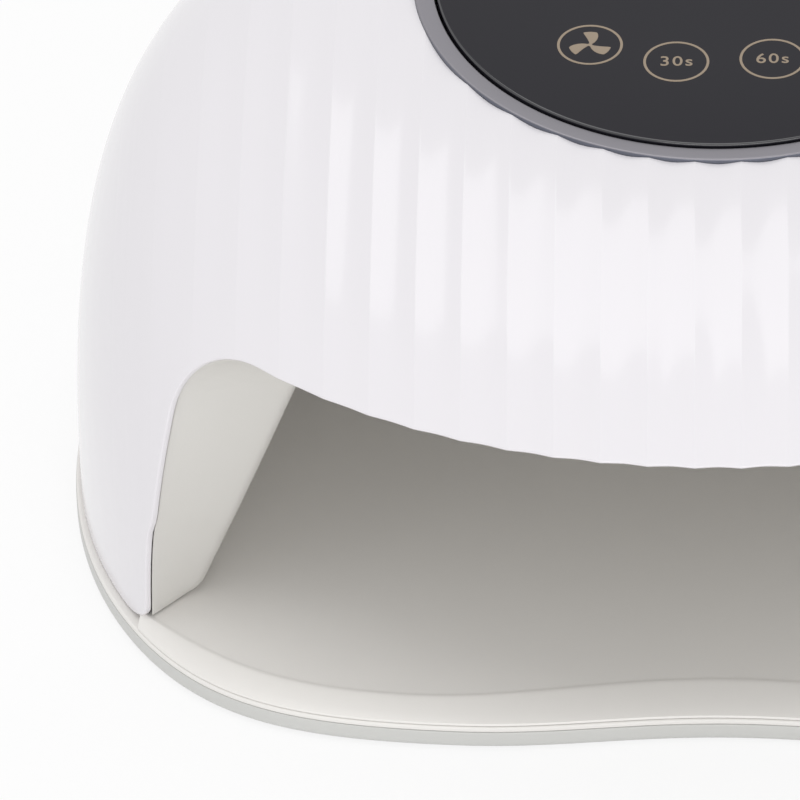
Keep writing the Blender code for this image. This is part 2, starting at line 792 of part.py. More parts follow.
def bead_hole(radius):
    return rod(radius, -OVERRUN, OVERRUN, BEAD_SIDES)


def board(half_x, half_y):
    return block(half_x, half_y, BOARD_STACK, BOARD_STACK + BOARD_THICKNESS)


# Tray

def tray_measure(x, y, margin, front_line, dip, rear_inset, side_limit):
    """Below 1 inside a tray outline: the dome's foot let out, then cut by a dipped front."""
    reach = SHELL_FRONT_REACH if y < SHELL_SECTION_SHIFT else SHELL_REAR_REACH - rear_inset
    across = abs(x) / (SHELL_HALF_WIDTH + margin)
    along = abs(y - SHELL_SECTION_SHIFT) / (reach + margin)
    plan = (across ** PLAN_POWER + along ** PLAN_POWER) ** (1 / PLAN_POWER)
    near = min(abs(x) / TRAY_DIP_HALF_WIDTH, 1)
    line = front_line - dip * (1 + math.cos(math.pi * near)) / 2
    front = max(-y, 0) / line
    side = abs(x) / side_limit
    terms = (plan, front, side)
    return sum(term ** TRAY_BLEND_POWER for term in terms) ** (1 / TRAY_BLEND_POWER)


def tray_outline(margin, front_line, dip, rear_inset, side_limit):
    outline = []
    for step in range(TRAY_POINTS):
        turn = 2 * math.pi * step / TRAY_POINTS
        near, far = 0, 2 * SHELL_HALF_WIDTH
        for _ in range(40):
            middle = (near + far) / 2
            x, y = middle * math.cos(turn), middle * math.sin(turn)
            if tray_measure(x, y, margin, front_line, dip, rear_inset, side_limit) < 1:
                near = middle
            else:
                far = middle
        outline.append((near * math.cos(turn), near * math.sin(turn)))
    return outline


def base_outline(inset):
    wide = 4 * SHELL_HALF_WIDTH
    return tray_outline(TRAY_MARGIN - inset, TRAY_FRONT_LINE - inset, TRAY_DIP_DEPTH, 0, wide)


def floor_outline(top):
    """The floor plate's lower outline, or its upper one, which is the crease in front."""
    slope_front = FLOOR_SLOPE_FRONT if top else 0
    slope_dip = FLOOR_SLOPE_DIP if top else 0
    slope_side = FLOOR_SLOPE_SIDE if top else 0
    front = TRAY_FRONT_LINE - FLOOR_FRONT_INSET - slope_front
    # The side limit keeps the plate inside the legs, where the shell is cut away
    limit = FLOOR_SIDE_LIMIT + FLOOR_SLOPE_SIDE - slope_side
    margin = -FLOOR_FRONT_INSET - slope_side
    return tray_outline(margin, front, TRAY_DIP_DEPTH + slope_dip, FLOOR_REAR_INSET, limit)


def both_sides(x, y):
    return [(x, y), (-x, y)]


def four_places(side_inset, front_inset, rear_inset):
    """Two places near the front and two near the rear, each an inset from the dome's ends."""
    x = SHELL_HALF_WIDTH - side_inset
    return both_sides(x, FRONT_END_Y + front_inset) + both_sides(x, REAR_END_Y - rear_inset)


FOOT_PLACES = four_places(FOOT_SIDE_INSET, FOOT_FRONT_INSET, FOOT_REAR_INSET)
TRAY_SCREW_PLACES = four_places(TRAY_SCREW_SIDE_INSET, TRAY_SCREW_FRONT_INSET,
                                TRAY_SCREW_REAR_INSET)
MAGNET_PLACES = both_sides(SHELL_HALF_WIDTH - MAGNET_SIDE_INSET, MAGNET_PLACE_Y)
POST_PLACES = (both_sides(SHELL_HALF_WIDTH - POST_LEG_SIDE_INSET,
                          leg_cut_back_y() + POST_LEG_SETBACK)
               + both_sides(POST_REAR_X, wall_y(POST_REAR_X, FOOT_Z, 1) - POST_WALL_INSET))


def make_tray():
    pan = add_piece("base_pan", plate(base_outline(0), FOOT_PROUD, PAN_TOP_Z), TRAY_PLASTIC)
    recess = FOOT_HEIGHT + TOUCH_GAP
    feet_holes = joined([rod(FOOT_RADIUS + TOUCH_GAP, -OVERRUN, recess, 20, x, y)
                         for x, y in FOOT_PLACES])
    cut(pan, "feet_recesses", feet_holes)
    magnet_low = PAN_TOP_Z - TOUCH_GAP - MAGNET_HEIGHT
    pockets = joined([rod(MAGNET_RADIUS + TOUCH_GAP, magnet_low - TOUCH_GAP,
                          PAN_TOP_Z + OVERRUN, 16, x, y) for x, y in MAGNET_PLACES])
    cut(pan, "tray_magnet_pockets", pockets)
    head_low = FOOT_PROUD + TOUCH_GAP
    head_high = head_low + SCREW_HEAD_HEIGHT
    counterbores = [rod(SCREW_HEAD_RADIUS + TOUCH_GAP, -OVERRUN, head_high + TOUCH_GAP, 12, x, y)
                    for x, y in TRAY_SCREW_PLACES]
    shanks = [rod(SCREW_RADIUS + TOUCH_GAP, -OVERRUN, FLOOR_Z - TRAY_SCREW_SKIN, 10, x, y)
              for x, y in TRAY_SCREW_PLACES]
    cut(pan, "tray_screw_counterbores", joined(counterbores))
    shank_guide = cut(pan, "tray_screw_bores", joined(shanks))

    lid = add_piece("tray_lid", plate(base_outline(TRAY_LID_INSET), LID_Z, LID_TOP_Z),
                    TRAY_PLASTIC)
    combine(lid, shank_guide)

    lower = [(x, y, FLOOR_PLATE_Z) for x, y in floor_outline(False)]
    upper = [(x, y, FLOOR_Z) for x, y in floor_outline(True)]
    floor = add_piece("floor_plate", lofted([lower, upper]), TRAY_PLASTIC)
    combine(floor, shank_guide)

    add_copies("tray_foot", rod(FOOT_RADIUS, 0, FOOT_HEIGHT, 20), FOOT_PLACES, RUBBER)
    add_copies("tray_magnet", rod(MAGNET_RADIUS, magnet_low, PAN_TOP_Z - TOUCH_GAP, 16),
               MAGNET_PLACES, STEEL)
    tip = FLOOR_Z - TRAY_SCREW_SKIN - TOUCH_GAP
    add_copies("tray_screw", screw(head_low, head_high, tip), TRAY_SCREW_PLACES, STEEL)


# Lamp body: shell, liner and bottom cover

def make_shell(panel_frame):
    shell = add_piece("outer_shell", dome_solid(), ((0.86, 0.85, 0.86), 0.18))
    hollow = add_guide("shell_hollow", dome_blank(SHELL_WALL))
    post_low = COVER_TOP_Z + TOUCH_GAP
    posts = joined([rod(POST_RADIUS, post_low, RING_CENTRE_Z, 10, x, y)
                    for x, y in POST_PLACES])
    combine(hollow, add_guide("shell_posts", posts))
    combine(shell, hollow)
    combine(shell, add_guide("opening_cutter", opening_prism()))
    seat = rod(BEZEL_RADIUS + TOUCH_GAP, -BEZEL_SEAT, OVERRUN * 2, RING_SIDES)
    combine(shell, add_guide("bezel_seat_cutter", seat, panel_frame))
    hole = rod(BEZEL_SKIRT_RADIUS + TOUCH_GAP, -OVERRUN * 2, OVERRUN, RING_SIDES)
    combine(shell, add_guide("bezel_hole_cutter", hole, panel_frame))
    pilots = joined([rod(SCREW_RADIUS + TOUCH_GAP, post_low - OVERRUN,
                         post_low + POST_HOLE_DEPTH, 8, x, y) for x, y in POST_PLACES])
    combine(shell, add_guide("post_bores", pilots))
    combine(shell, add_guide("vent_cutter", vent_slots()))
    jack_hole = moved(rod(JACK_RADIUS + LOOSE_GAP, -OVERRUN * 2, OVERRUN * 2, 20),
                      jack_frame())
    combine(shell, add_guide("jack_hole_cutter", jack_hole))


def vent_slots():
    """Upright slots through the rear wall, one in each of the middle flutes."""
    half = VENT_WIDTH / 2
    half_run = (VENT_HEIGHT - VENT_WIDTH) / 2
    depth = SHELL_REAR_REACH / 3
    slots = []
    for x in spread(FLUTE_PITCH, VENT_COUNT):
        outline = []
        for step in range(4):
            turn = math.pi * step / 3
            outline.append((half * math.cos(turn), half_run + half * math.sin(turn)))
        outline += [(-px, -pz) for px, pz in outline]
        turn_up = Matrix.Rotation(math.pi / 2, 4, "X")
        place = Matrix.Translation((x, SHELL_REAR_REACH, VENT_Z)) @ turn_up
        slots.append(moved(plate(outline, -OVERRUN, depth), place))
    return joined(slots)


def jack_frame():
    """The inlet's face at the rear: local Z points into the lamp."""
    turn = Matrix.Rotation(math.pi / 2, 4, "X")
    return Matrix.Translation((0, jack_face_y(), JACK_Z)) @ turn


def jack_face_y():
    """The inlet's face lies a little behind the hollow of the middle flute."""
    return wall_y(0, JACK_Z, 1) - JACK_RECESS


def make_liner():
    liner = add_piece("inner_liner", liner_solid(), ((0.62, 0.61, 0.59), 0.4))
    columns, rows = top_beads()
    top = [ceiling_frame(x, y) for x in columns for y in rows]
    side_places = side_beads()
    side = [side_frame(y, SIDE_BOARD_Z) for y in side_places]
    rear = [rear_frame(x, REAR_BOARD_Z) for x in spread(REAR_BEAD_PITCH, REAR_BEAD_COUNT)]
    sensor_y = wall_y(0, OPENING_TOP_Z, -1) + SENSOR_SETBACK
    sensors = [ceiling_frame(x, sensor_y) for x in (-SENSOR_SPACING / 2, SENSOR_SPACING / 2)]
    hole = bead_hole(BEAD_HOLE_RADIUS)
    holes = [moved(hole, frame) for frame in top + side + rear + sensors]
    holes += [mirrored_shape(moved(hole, frame)) for frame in side]
    cut(liner, "bead_holes", joined(holes))

    half_x = columns[-1] + BOARD_EDGE
    half_y = (rows[0] - rows[-1]) / 2 + BOARD_EDGE
    top_middle = (rows[0] + rows[-1]) / 2
    light_board("top", moved(board(half_x, half_y), ceiling_frame(0, top_middle)),
                joined([moved(bead(), frame) for frame in top]))
    side_half = (side_places[-1] - side_places[0]) / 2 + BOARD_EDGE
    side_middle = (side_places[0] + side_places[-1]) / 2
    side_board = moved(board(side_half, BOARD_EDGE), side_frame(side_middle, SIDE_BOARD_Z))
    beads = joined([moved(bead(), frame) for frame in side])
    light_board("right", side_board, beads)
    light_board("left", mirrored_shape(side_board), mirrored_shape(beads))
    rear_half = REAR_BEAD_PITCH * (REAR_BEAD_COUNT - 1) / 2 + BOARD_EDGE
    light_board("rear", moved(board(rear_half, BOARD_EDGE), rear_frame(0, REAR_BOARD_Z)),
                joined([moved(bead(), frame) for frame in rear]))

    window = turned([(0, BEAD_RECESS), (SENSOR_RADIUS, BEAD_RECESS),
                     (SENSOR_RADIUS, LINER_WALL), (0, LINER_WALL)], 10)
    for name, frame in zip(("sensor_emitter", "sensor_receiver"), sensors):
        add_piece(name, moved(window, frame), BLACK_PLASTIC)
    add_piece("sensor_board", moved(board(SENSOR_SPACING, BOARD_EDGE * SENSOR_BOARD_SHARE),
                                    ceiling_frame(0, sensor_y)), BOARD_GREEN)


def light_board(side, shape, beads):
    """A light board with its beads soldered on."""
    base = add_piece("light_board_" + side, shape, BOARD_WHITE)
    combine(base, add_guide("light_beads_" + side, beads), "UNION")


def make_cover():
    """The plate that closes the space between liner and shell from below."""
    outline = inner_foot_outline(SHELL_WALL + COVER_GAP, TRAY_POINTS)
    cover = add_piece("bottom_cover", plate(outline, LINER_Z, COVER_TOP_Z),
                      ((0.62, 0.61, 0.60), 0.5))
    low, high = LINER_Z - OVERRUN, COVER_TOP_Z + OVERRUN
    footprint = liner_footprint(LINER_WALL + LOOSE_GAP)
    cut(cover, "liner_clearance", plate(footprint, low, high))
    cover_front = float(liner_grid(0)[1, 0, 1]) + COVER_FRONT_GAP
    half_gap = (cover_front - FRONT_END_Y) / 2 + OVERRUN
    front = block(2 * SHELL_HALF_WIDTH, half_gap, low, high, 0, cover_front - half_gap)
    cut(cover, "leg_end_cutter", front)
    holes = [rod(MAGNET_RADIUS + TOUCH_GAP, low, high, 16, x, y) for x, y in MAGNET_PLACES]
    holes += [rod(SCREW_RADIUS + TOUCH_GAP, low, high, 10, x, y) for x, y in POST_PLACES]
    cut(cover, "cover_holes", joined(holes))
    head_top = LINER_Z + SCREW_HEAD_HEIGHT
    sinks = [rod(SCREW_HEAD_RADIUS + TOUCH_GAP, low, head_top + TOUCH_GAP, 10, x, y)
             for x, y in POST_PLACES]
    cut(cover, "cover_screw_sinks", joined(sinks))

    tip = COVER_TOP_Z + POST_HOLE_DEPTH
    add_copies("cover_screw", screw(LINER_Z, head_top, tip, 10), POST_PLACES, STEEL)
    add_copies("lamp_magnet", rod(MAGNET_RADIUS, LINER_Z, COVER_TOP_Z, 16), MAGNET_PLACES,
               STEEL)


# Touch panel, bezel and control board, all in the ring's frame

def make_panel(frame):
    top, radius, chamfer = BEZEL_PROUD, BEZEL_RADIUS, BEZEL_CHAMFER
    seat = TOUCH_GAP - BEZEL_SEAT
    profile = [(BEZEL_INNER_RADIUS, top - chamfer), (BEZEL_INNER_RADIUS + chamfer, top),
               (radius - chamfer, top), (radius, top - chamfer), (radius, seat),
               (BEZEL_SKIRT_RADIUS, seat), (BEZEL_SKIRT_RADIUS, -BEZEL_SKIRT_DEPTH),
               (BEZEL_INNER_RADIUS, -BEZEL_SKIRT_DEPTH)]
    add_piece("bezel_ring", turned(profile, RING_SIDES), ((0.27, 0.26, 0.28), 0.35, 0.9), frame)

    lock_top = -(SHELL_WALL + LOCK_RING_GAP)
    inner = BEZEL_SKIRT_RADIUS + TOUCH_GAP
    lock = [(inner, lock_top), (inner + LOCK_RING_WIDTH, lock_top),
            (inner + LOCK_RING_WIDTH, lock_top - LOCK_RING_HEIGHT),
            (inner, lock_top - LOCK_RING_HEIGHT)]
    add_piece("bezel_lock_ring", turned(lock, RING_SIDES), ((0.75, 0.75, 0.74), 0.5), frame)

    panel = [(0, PANEL_TOP), (PANEL_RADIUS - PANEL_CHAMFER, PANEL_TOP),
             (PANEL_RADIUS, PANEL_TOP - PANEL_CHAMFER), (PANEL_RADIUS, PANEL_LOW),
             (0, PANEL_LOW)]
    add_piece("touch_panel", turned(panel, RING_SIDES), ((0.045, 0.044, 0.052), 0.12), frame)

    inside = PANEL_RADIUS - CARRIER_WALL
    dish = [(0, CARRIER_TOP), (PANEL_RADIUS, CARRIER_TOP),
            (PANEL_RADIUS, CARRIER_LOW - CARRIER_WALL_DEPTH),
            (inside, CARRIER_LOW - CARRIER_WALL_DEPTH), (inside, CARRIER_LOW),
            (0, CARRIER_LOW)]
    carrier = add_piece("panel_carrier", turned(dish, 36), ((0.08, 0.08, 0.09), 0.6), frame)
    boss_places = [(BOARD_SCREW_PLACE * math.cos(turn), BOARD_SCREW_PLACE * math.sin(turn))
                   for turn in (math.radians(90), math.radians(195), math.radians(345))]
    bosses = joined([rod(CARRIER_BOSS_RADIUS, PCB_TOP + TOUCH_GAP, CARRIER_LOW + TOUCH_GAP,
                         12, x, y) for x, y in boss_places])
    combine(carrier, add_guide("carrier_bosses", bosses, frame), "UNION")
    openings = [block(DISPLAY_HALF_WIDTH + LOOSE_GAP, DISPLAY_HALF_DEPTH + LOOSE_GAP,
                      -OVERRUN * 2, OVERRUN, 0, DISPLAY_Y)]
    openings += [rod(TOUCH_PAD_RADIUS + LOOSE_GAP, -OVERRUN * 2, OVERRUN, 12, x, y)
                 for x, y in touch_places()]
    openings += [rod(SCREW_RADIUS + TOUCH_GAP, PCB_LOW - OVERRUN, CARRIER_LOW, 8, x, y)
                 for x, y in boss_places]
    cut(carrier, "carrier_windows", joined(openings))

    control = add_piece("control_board", rod(PCB_RADIUS, PCB_LOW, PCB_TOP, 40),
                        BOARD_GREEN, frame)
    bores = [rod(SCREW_RADIUS + TOUCH_GAP, PCB_LOW - OVERRUN, PCB_TOP + OVERRUN, 8, x, y)
             for x, y in boss_places]
    cut(control, "control_board_bores", joined(bores))
    head_high = PCB_LOW - TOUCH_GAP
    head_low = head_high - SCREW_HEAD_HEIGHT
    tip = CARRIER_LOW - TOUCH_GAP
    add_copies("board_screw", screw(head_low, head_high, tip, 10), boss_places, STEEL, frame)

    stand = PCB_TOP + TOUCH_GAP
    add_piece("digit_display", block(DISPLAY_HALF_WIDTH, DISPLAY_HALF_DEPTH, stand,
                                     PANEL_LOW - TOUCH_GAP, 0, DISPLAY_Y),
              BLACK_PLASTIC, frame)
    add_copies("touch_pad", rod(TOUCH_PAD_RADIUS, stand, PANEL_LOW - TOUCH_GAP, 12),
               touch_places(), RUBBER, frame)


def touch_places():
    """The four touch fields, two close to the middle and two further out."""
    places = []
    fields = ((TOUCH_INNER_PLACE, TOUCH_INNER_TURN), (TOUCH_OUTER_PLACE, TOUCH_OUTER_TURN))
    for radius, spread_turn in fields:
        for side in (-1, 1):
            turn = side * spread_turn + TOUCH_LAYOUT_TWIST
            places.append((radius * math.sin(turn), -radius * math.cos(turn)))
    return places


# Heat sink and fan

def make_sink():
    """A plate with upright fins, drawn as a comb and stretched along Y."""
    top = SINK_Z + SINK_BASE
    comb = [(-SINK_HALF_WIDTH, SINK_Z), (SINK_HALF_WIDTH, SINK_Z), (SINK_HALF_WIDTH, top)]
    for x in reversed(spread(FIN_PITCH, FIN_COUNT)):
        right, left = x + FIN_THICKNESS / 2, x - FIN_THICKNESS / 2
        comb += [(right, top), (right, top + FIN_HEIGHT), (left, top + FIN_HEIGHT), (left, top)]
    comb.append((-SINK_HALF_WIDTH, top))
    rear = LINER_BACK_Y - SINK_REAR_SETBACK
    front = rear - SINK_HALF_DEPTH * 2
    points = [(x, front, z) for x, z in comb] + [(x, rear, z) for x, z in comb]
    add_piece("heat_sink", (points, prism_faces(len(comb))), STEEL)


def make_fan(centre):
    frame = add_piece("fan_frame", block(FAN_HALF_WIDTH, FAN_HALF_WIDTH, 0, FAN_HEIGHT),
                      BLACK_PLASTIC, None, centre)
    cut(frame, "fan_bore_cutter", rod(FAN_BORE_RADIUS, -OVERRUN, FAN_HEIGHT + OVERRUN, 32))
    hub_radius = FAN_HUB_RADIUS
    strut_half = FAN_BORE_RADIUS + FAN_STRUT_WIDTH / 2
    cross = add_guide("fan_struts", block(strut_half, FAN_STRUT_WIDTH / 2, 0, FAN_FLOOR))
    cross.location = centre
    combine(frame, cross, "UNION")
    other = add_guide("fan_cross_strut", block(FAN_STRUT_WIDTH / 2, strut_half, 0, FAN_FLOOR))
    other.location = centre
    combine(frame, other, "UNION")
    base = add_guide("fan_hub_base", rod(hub_radius, 0, FAN_FLOOR, 24))
    base.location = centre
    combine(frame, base, "UNION")
    bearing_radius = FAN_SHAFT_RADIUS + TOUCH_GAP + FAN_BEARING_WALL
    tube = add_guide("fan_bearing", rod(bearing_radius, FAN_FLOOR / 2, FAN_BEARING_HEIGHT, 16))
    tube.location = centre
    combine(frame, tube, "UNION")
    bearing_bore = rod(FAN_SHAFT_RADIUS + TOUCH_GAP, FAN_FLOOR / 2,
                       FAN_BEARING_HEIGHT + OVERRUN, 16)
    cut(frame, "fan_bearing_bore", bearing_bore)
    corner_places = [(-FAN_HOLE_OFFSET, -FAN_HOLE_OFFSET), (FAN_HOLE_OFFSET, FAN_HOLE_OFFSET)]
    corner_holes = [rod(SCREW_RADIUS + TOUCH_GAP, -OVERRUN, FAN_HEIGHT + OVERRUN, 10, x, y)
                    for x, y in corner_places]
    cut(frame, "fan_screw_bores", joined(corner_holes))

    head_low = FAN_HEIGHT + TOUCH_GAP
    head_high = head_low + SCREW_HEAD_HEIGHT
    places = [(centre[0] + x, centre[1] + y) for x, y in corner_places]
    shape = shifted(screw(head_low, head_high, -FAN_SCREW_REACH, 10), z=centre[2])
    add_copies("fan_screw", shape, places, STEEL)
    make_rotor(centre, bearing_radius)


def make_rotor(centre, bearing_radius):
    """The fan's hub cup and blades, turning on a shaft that stands in the frame."""
    cup_low = FAN_FLOOR + TOUCH_GAP * 2
    cup_high = FAN_HEIGHT - TOUCH_GAP
    roof_low = FAN_BEARING_HEIGHT + TOUCH_GAP
    inner = bearing_radius + TOUCH_GAP * 2
    bore = FAN_SHAFT_RADIUS + TOUCH_GAP
    cup = [(bore, cup_high), (FAN_HUB_RADIUS, cup_high), (FAN_HUB_RADIUS, cup_low),
           (inner, cup_low), (inner, roof_low), (bore, roof_low)]
    rotor = add_piece("fan_rotor", turned(cup, 28), BLACK_PLASTIC, None, centre)
    root_x = FAN_HUB_RADIUS * math.cos(math.pi / 9)
    tip_x = FAN_BORE_RADIUS - FAN_TIP_GAP
    half_x = (tip_x - root_x) / 2
    usable = cup_high - cup_low
    half_chord = usable / (2 * math.sin(FAN_BLADE_PITCH)) * FAN_BLADE_CHORD_SHARE
    blade = block(half_x, half_chord, -FAN_BLADE_THICKNESS / 2, FAN_BLADE_THICKNESS / 2)
    tilt = Matrix.Rotation(FAN_BLADE_PITCH, 4, "X")
    middle = Matrix.Translation(((root_x + tip_x) / 2, 0, (cup_low + cup_high) / 2))
    blades = []
    for number in range(FAN_BLADE_COUNT):
        turn = Matrix.Rotation(2 * math.pi * number / FAN_BLADE_COUNT, 4, "Z")
        blades.append(moved(blade, turn @ middle @ tilt))
    guide = add_guide("fan_blades", joined(blades))
    guide.location = centre
    combine(rotor, guide, "UNION")
    trim = add_guide("fan_blade_reach", rod(tip_x, cup_low, cup_high, 32))
    trim.location = centre
    combine(rotor, trim, "INTERSECT")
    shaft = rod(FAN_SHAFT_RADIUS, FAN_FLOOR / 2 + TOUCH_GAP, cup_high, 16)
    add_piece("fan_shaft", shaft, STEEL, None, centre)


# Rear: inlet, driver board and leads

def make_rear():
    pin_tip = JACK_PIN_RADIUS
    rear = JACK_LENGTH
    jack = [(0, pin_tip), (JACK_PIN_RADIUS, pin_tip), (JACK_PIN_RADIUS, JACK_BORE_DEPTH),
            (JACK_BORE_RADIUS, JACK_BORE_DEPTH), (JACK_BORE_RADIUS, 0), (JACK_RADIUS, 0),
            (JACK_RADIUS, collar_depth()),
            (JACK_RADIUS + JACK_COLLAR_WIDTH, collar_depth()),
            (JACK_RADIUS + JACK_COLLAR_WIDTH, collar_depth() + JACK_COLLAR_HEIGHT),
            (JACK_RADIUS, collar_depth() + JACK_COLLAR_HEIGHT), (JACK_RADIUS, rear), (0, rear)]
    add_piece("power_inlet", moved(turned(jack, 20), jack_frame()), BLACK_PLASTIC)

    wall_y = LINER_BACK_Y + LINER_WALL + TOUCH_GAP
    turn = Matrix.Rotation(-math.pi / 2, 4, "X")
    middle_z = DRIVER_LOW_Z + DRIVER_HEIGHT / 2
    place = Matrix.Translation((0, wall_y, middle_z)) @ turn
    corner_x = DRIVER_HALF_WIDTH - STANDOFF_RADIUS * 2
    for number, x in enumerate((-corner_x, corner_x), start=1):
        standoff = rod(STANDOFF_RADIUS, 0, STANDOFF_HEIGHT, 8, x, 0)
        add_piece(f"driver_standoff_{number}", moved(standoff, place),
                  ((0.70, 0.55, 0.25), 0.35, 1.0))
    low = STANDOFF_HEIGHT + TOUCH_GAP
    high = low + BOARD_THICKNESS
    add_piece("driver_board", moved(block(DRIVER_HALF_WIDTH, DRIVER_HEIGHT / 2, low, high),
                                    place), BOARD_GREEN)
    stand = high + TOUCH_GAP
    add_piece("driver_coil", moved(rod(COIL_RADIUS, stand, stand + COIL_HEIGHT, 16, COIL_X, 0),
                                   place), ((0.08, 0.08, 0.08), 0.7))
    can = rod(CAPACITOR_RADIUS, stand, stand + CAPACITOR_HEIGHT, 12, CAPACITOR_X, 0)
    add_piece("driver_capacitor", moved(can, place), ((0.10, 0.12, 0.20), 0.4))
    return wall_y + high


def collar_depth():
    """How far the inlet's collar lies behind its face: just inside the shell's wall."""
    return SHELL_WALL - JACK_RECESS + FLUTE_DEPTH + TOUCH_GAP


def lead(name, route, colour):
    """A wire along a smooth route, with closed ends."""
    curve = bpy.data.curves.new(name, "CURVE")
    curve.dimensions = "3D"
    curve.bevel_depth = LEAD_RADIUS
    curve.bevel_resolution = LEAD_SIDES_LEVEL
    curve.use_fill_caps = True
    spline = curve.splines.new("POLY")
    track = smooth_route(route)
    spline.points.add(len(track) - 1)
    for point, place in zip(spline.points, track):
        point.co = (*place, 1)
    curve.materials.append(finish(name + "_finish", colour, 0.5))
    wire = bpy.data.objects.new(name, curve)
    bpy.context.scene.collection.objects.link(wire)


def smooth_route(route, steps=3):
    """Points on a smooth curve through the route's own points."""
    places = [np.array(place, dtype=float) for place in route]
    places = [2 * places[0] - places[1]] + places + [2 * places[-1] - places[-2]]
    track = []
    for before, start, end, after in zip(places, places[1:], places[2:], places[3:]):
        for step in range(steps):
            share = step / steps
            track.append(0.5 * (2 * start + (end - before) * share
                                + (2 * before - 5 * start + 4 * end - after) * share ** 2
                                + (3 * start - before - 3 * end + after) * share ** 3))
    track.append(places[-2])
    return [tuple(place) for place in track]


def ring_point(x, y, z):
    """A place given in the ring's frame, in the object's frame."""
    frame = Matrix.Translation((0, RING_CENTRE_Y, RING_CENTRE_Z))
    frame = frame @ Matrix.Rotation(RING_TILT, 4, "X")
    return tuple(frame @ Vector((x, y, z)))


def make_leads(driver_face_y):
    """Wires from the inlet to the driver board, and on to the boards and the fan."""
    reach = LEAD_RADIUS * 4
    run = LEAD_RADIUS * 10
    board_y = driver_face_y + LEAD_END_GAP
    turn_y = driver_face_y + reach
    inlet_y = jack_face_y() - JACK_LENGTH - LEAD_END_GAP
    low_z = DRIVER_LOW_Z + reach
    middle_y = (inlet_y + driver_face_y) / 2
    lead("supply_lead", [(0, inlet_y, JACK_Z), (0, middle_y + LEAD_RADIUS, JACK_Z),
                         (0, middle_y, (JACK_Z + low_z) / 2),
                         (0, middle_y - LEAD_RADIUS, low_z), (0, board_y, low_z)],
         (0.02, 0.02, 0.02))

    high_z = DRIVER_LOW_Z + DRIVER_HEIGHT - reach
    plug_y = BOARD_SCREW_PLACE * LEAD_PLUG_SHARE
    board_end = ring_point(0, plug_y, PCB_LOW - LEAD_END_GAP)
    board_near = ring_point(0, plug_y, PCB_LOW - reach)
    board_far = ring_point(0, plug_y, PCB_LOW - reach * 2)
    lead("control_lead", [(0, board_y, high_z), (0, turn_y, high_z + LEAD_RADIUS),
                          (0, turn_y, high_z + run),
                          (0, LINER_BACK_Y, LINER_CEILING_Z + run),
                          (0, (LINER_BACK_Y + board_end[1]) / 2, board_end[2] - run),
                          board_far, board_near, board_end], (0.55, 0.04, 0.03))

    fan_y = RING_CENTRE_Y + FAN_HALF_WIDTH
    fan_z = FAN_Z + FAN_HEIGHT / 2
    plug_x = FAN_HALF_WIDTH / 2
    plug = ring_point(plug_x, plug_y, PCB_LOW - LEAD_END_GAP)
    plug_near = ring_point(plug_x, plug_y, PCB_LOW - reach)
    lead("fan_lead", [(plug_x, fan_y + LEAD_END_GAP, fan_z), (plug_x, fan_y + reach, fan_z),
                      plug_near, plug], (0.02, 0.02, 0.02))

    board_rear = LINER_BACK_Y - TOP_BEAD_REAR_SETBACK + BOARD_EDGE
    lamp_x = -FAN_HALF_WIDTH / 2
    board_z = TOP_BOARD_Z + BOARD_THICKNESS / 2
    lead("light_lead", [(lamp_x, board_y, high_z), (lamp_x, turn_y, high_z + LEAD_RADIUS),
                        (lamp_x, turn_y, high_z + run),
                        (lamp_x, LINER_BACK_Y - run, LINER_CEILING_Z + LINER_WALL + reach),
                        (lamp_x, board_rear + run, board_z + LEAD_RADIUS),
                        (lamp_x, board_rear + LEAD_END_GAP, board_z)], (0.75, 0.70, 0.62))


def main():
    clear_scene()
    panel_frame = bpy.data.objects.new("panel_frame", None)
    bpy.context.scene.collection.objects.link(panel_frame)
    panel_frame.location = (0, RING_CENTRE_Y, RING_CENTRE_Z)
    panel_frame.rotation_euler = (RING_TILT, 0, 0)
    make_tray()
    make_shell(panel_frame)
    make_liner()
    make_cover()
    make_panel(panel_frame)
    make_sink()
    make_fan((0, RING_CENTRE_Y, FAN_Z))
    make_leads(make_rear())


main()
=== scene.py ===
# %% [markdown]
# A lamp for curing nail varnish: a white fluted dome over a hand space, with a round touch
# panel on top, standing on a thin tray. This file dresses the finished CAD model of the lamp
# with fine meshes and finishes. The CAD model is the frame: every piece here is made in its
# coordinates, in metres, with Z up and the hand going in along +Y, so nothing needs fitting.

# %% Load the frame
import json
import math

import bmesh
import bpy
import numpy as np
from mathutils import Matrix, Vector

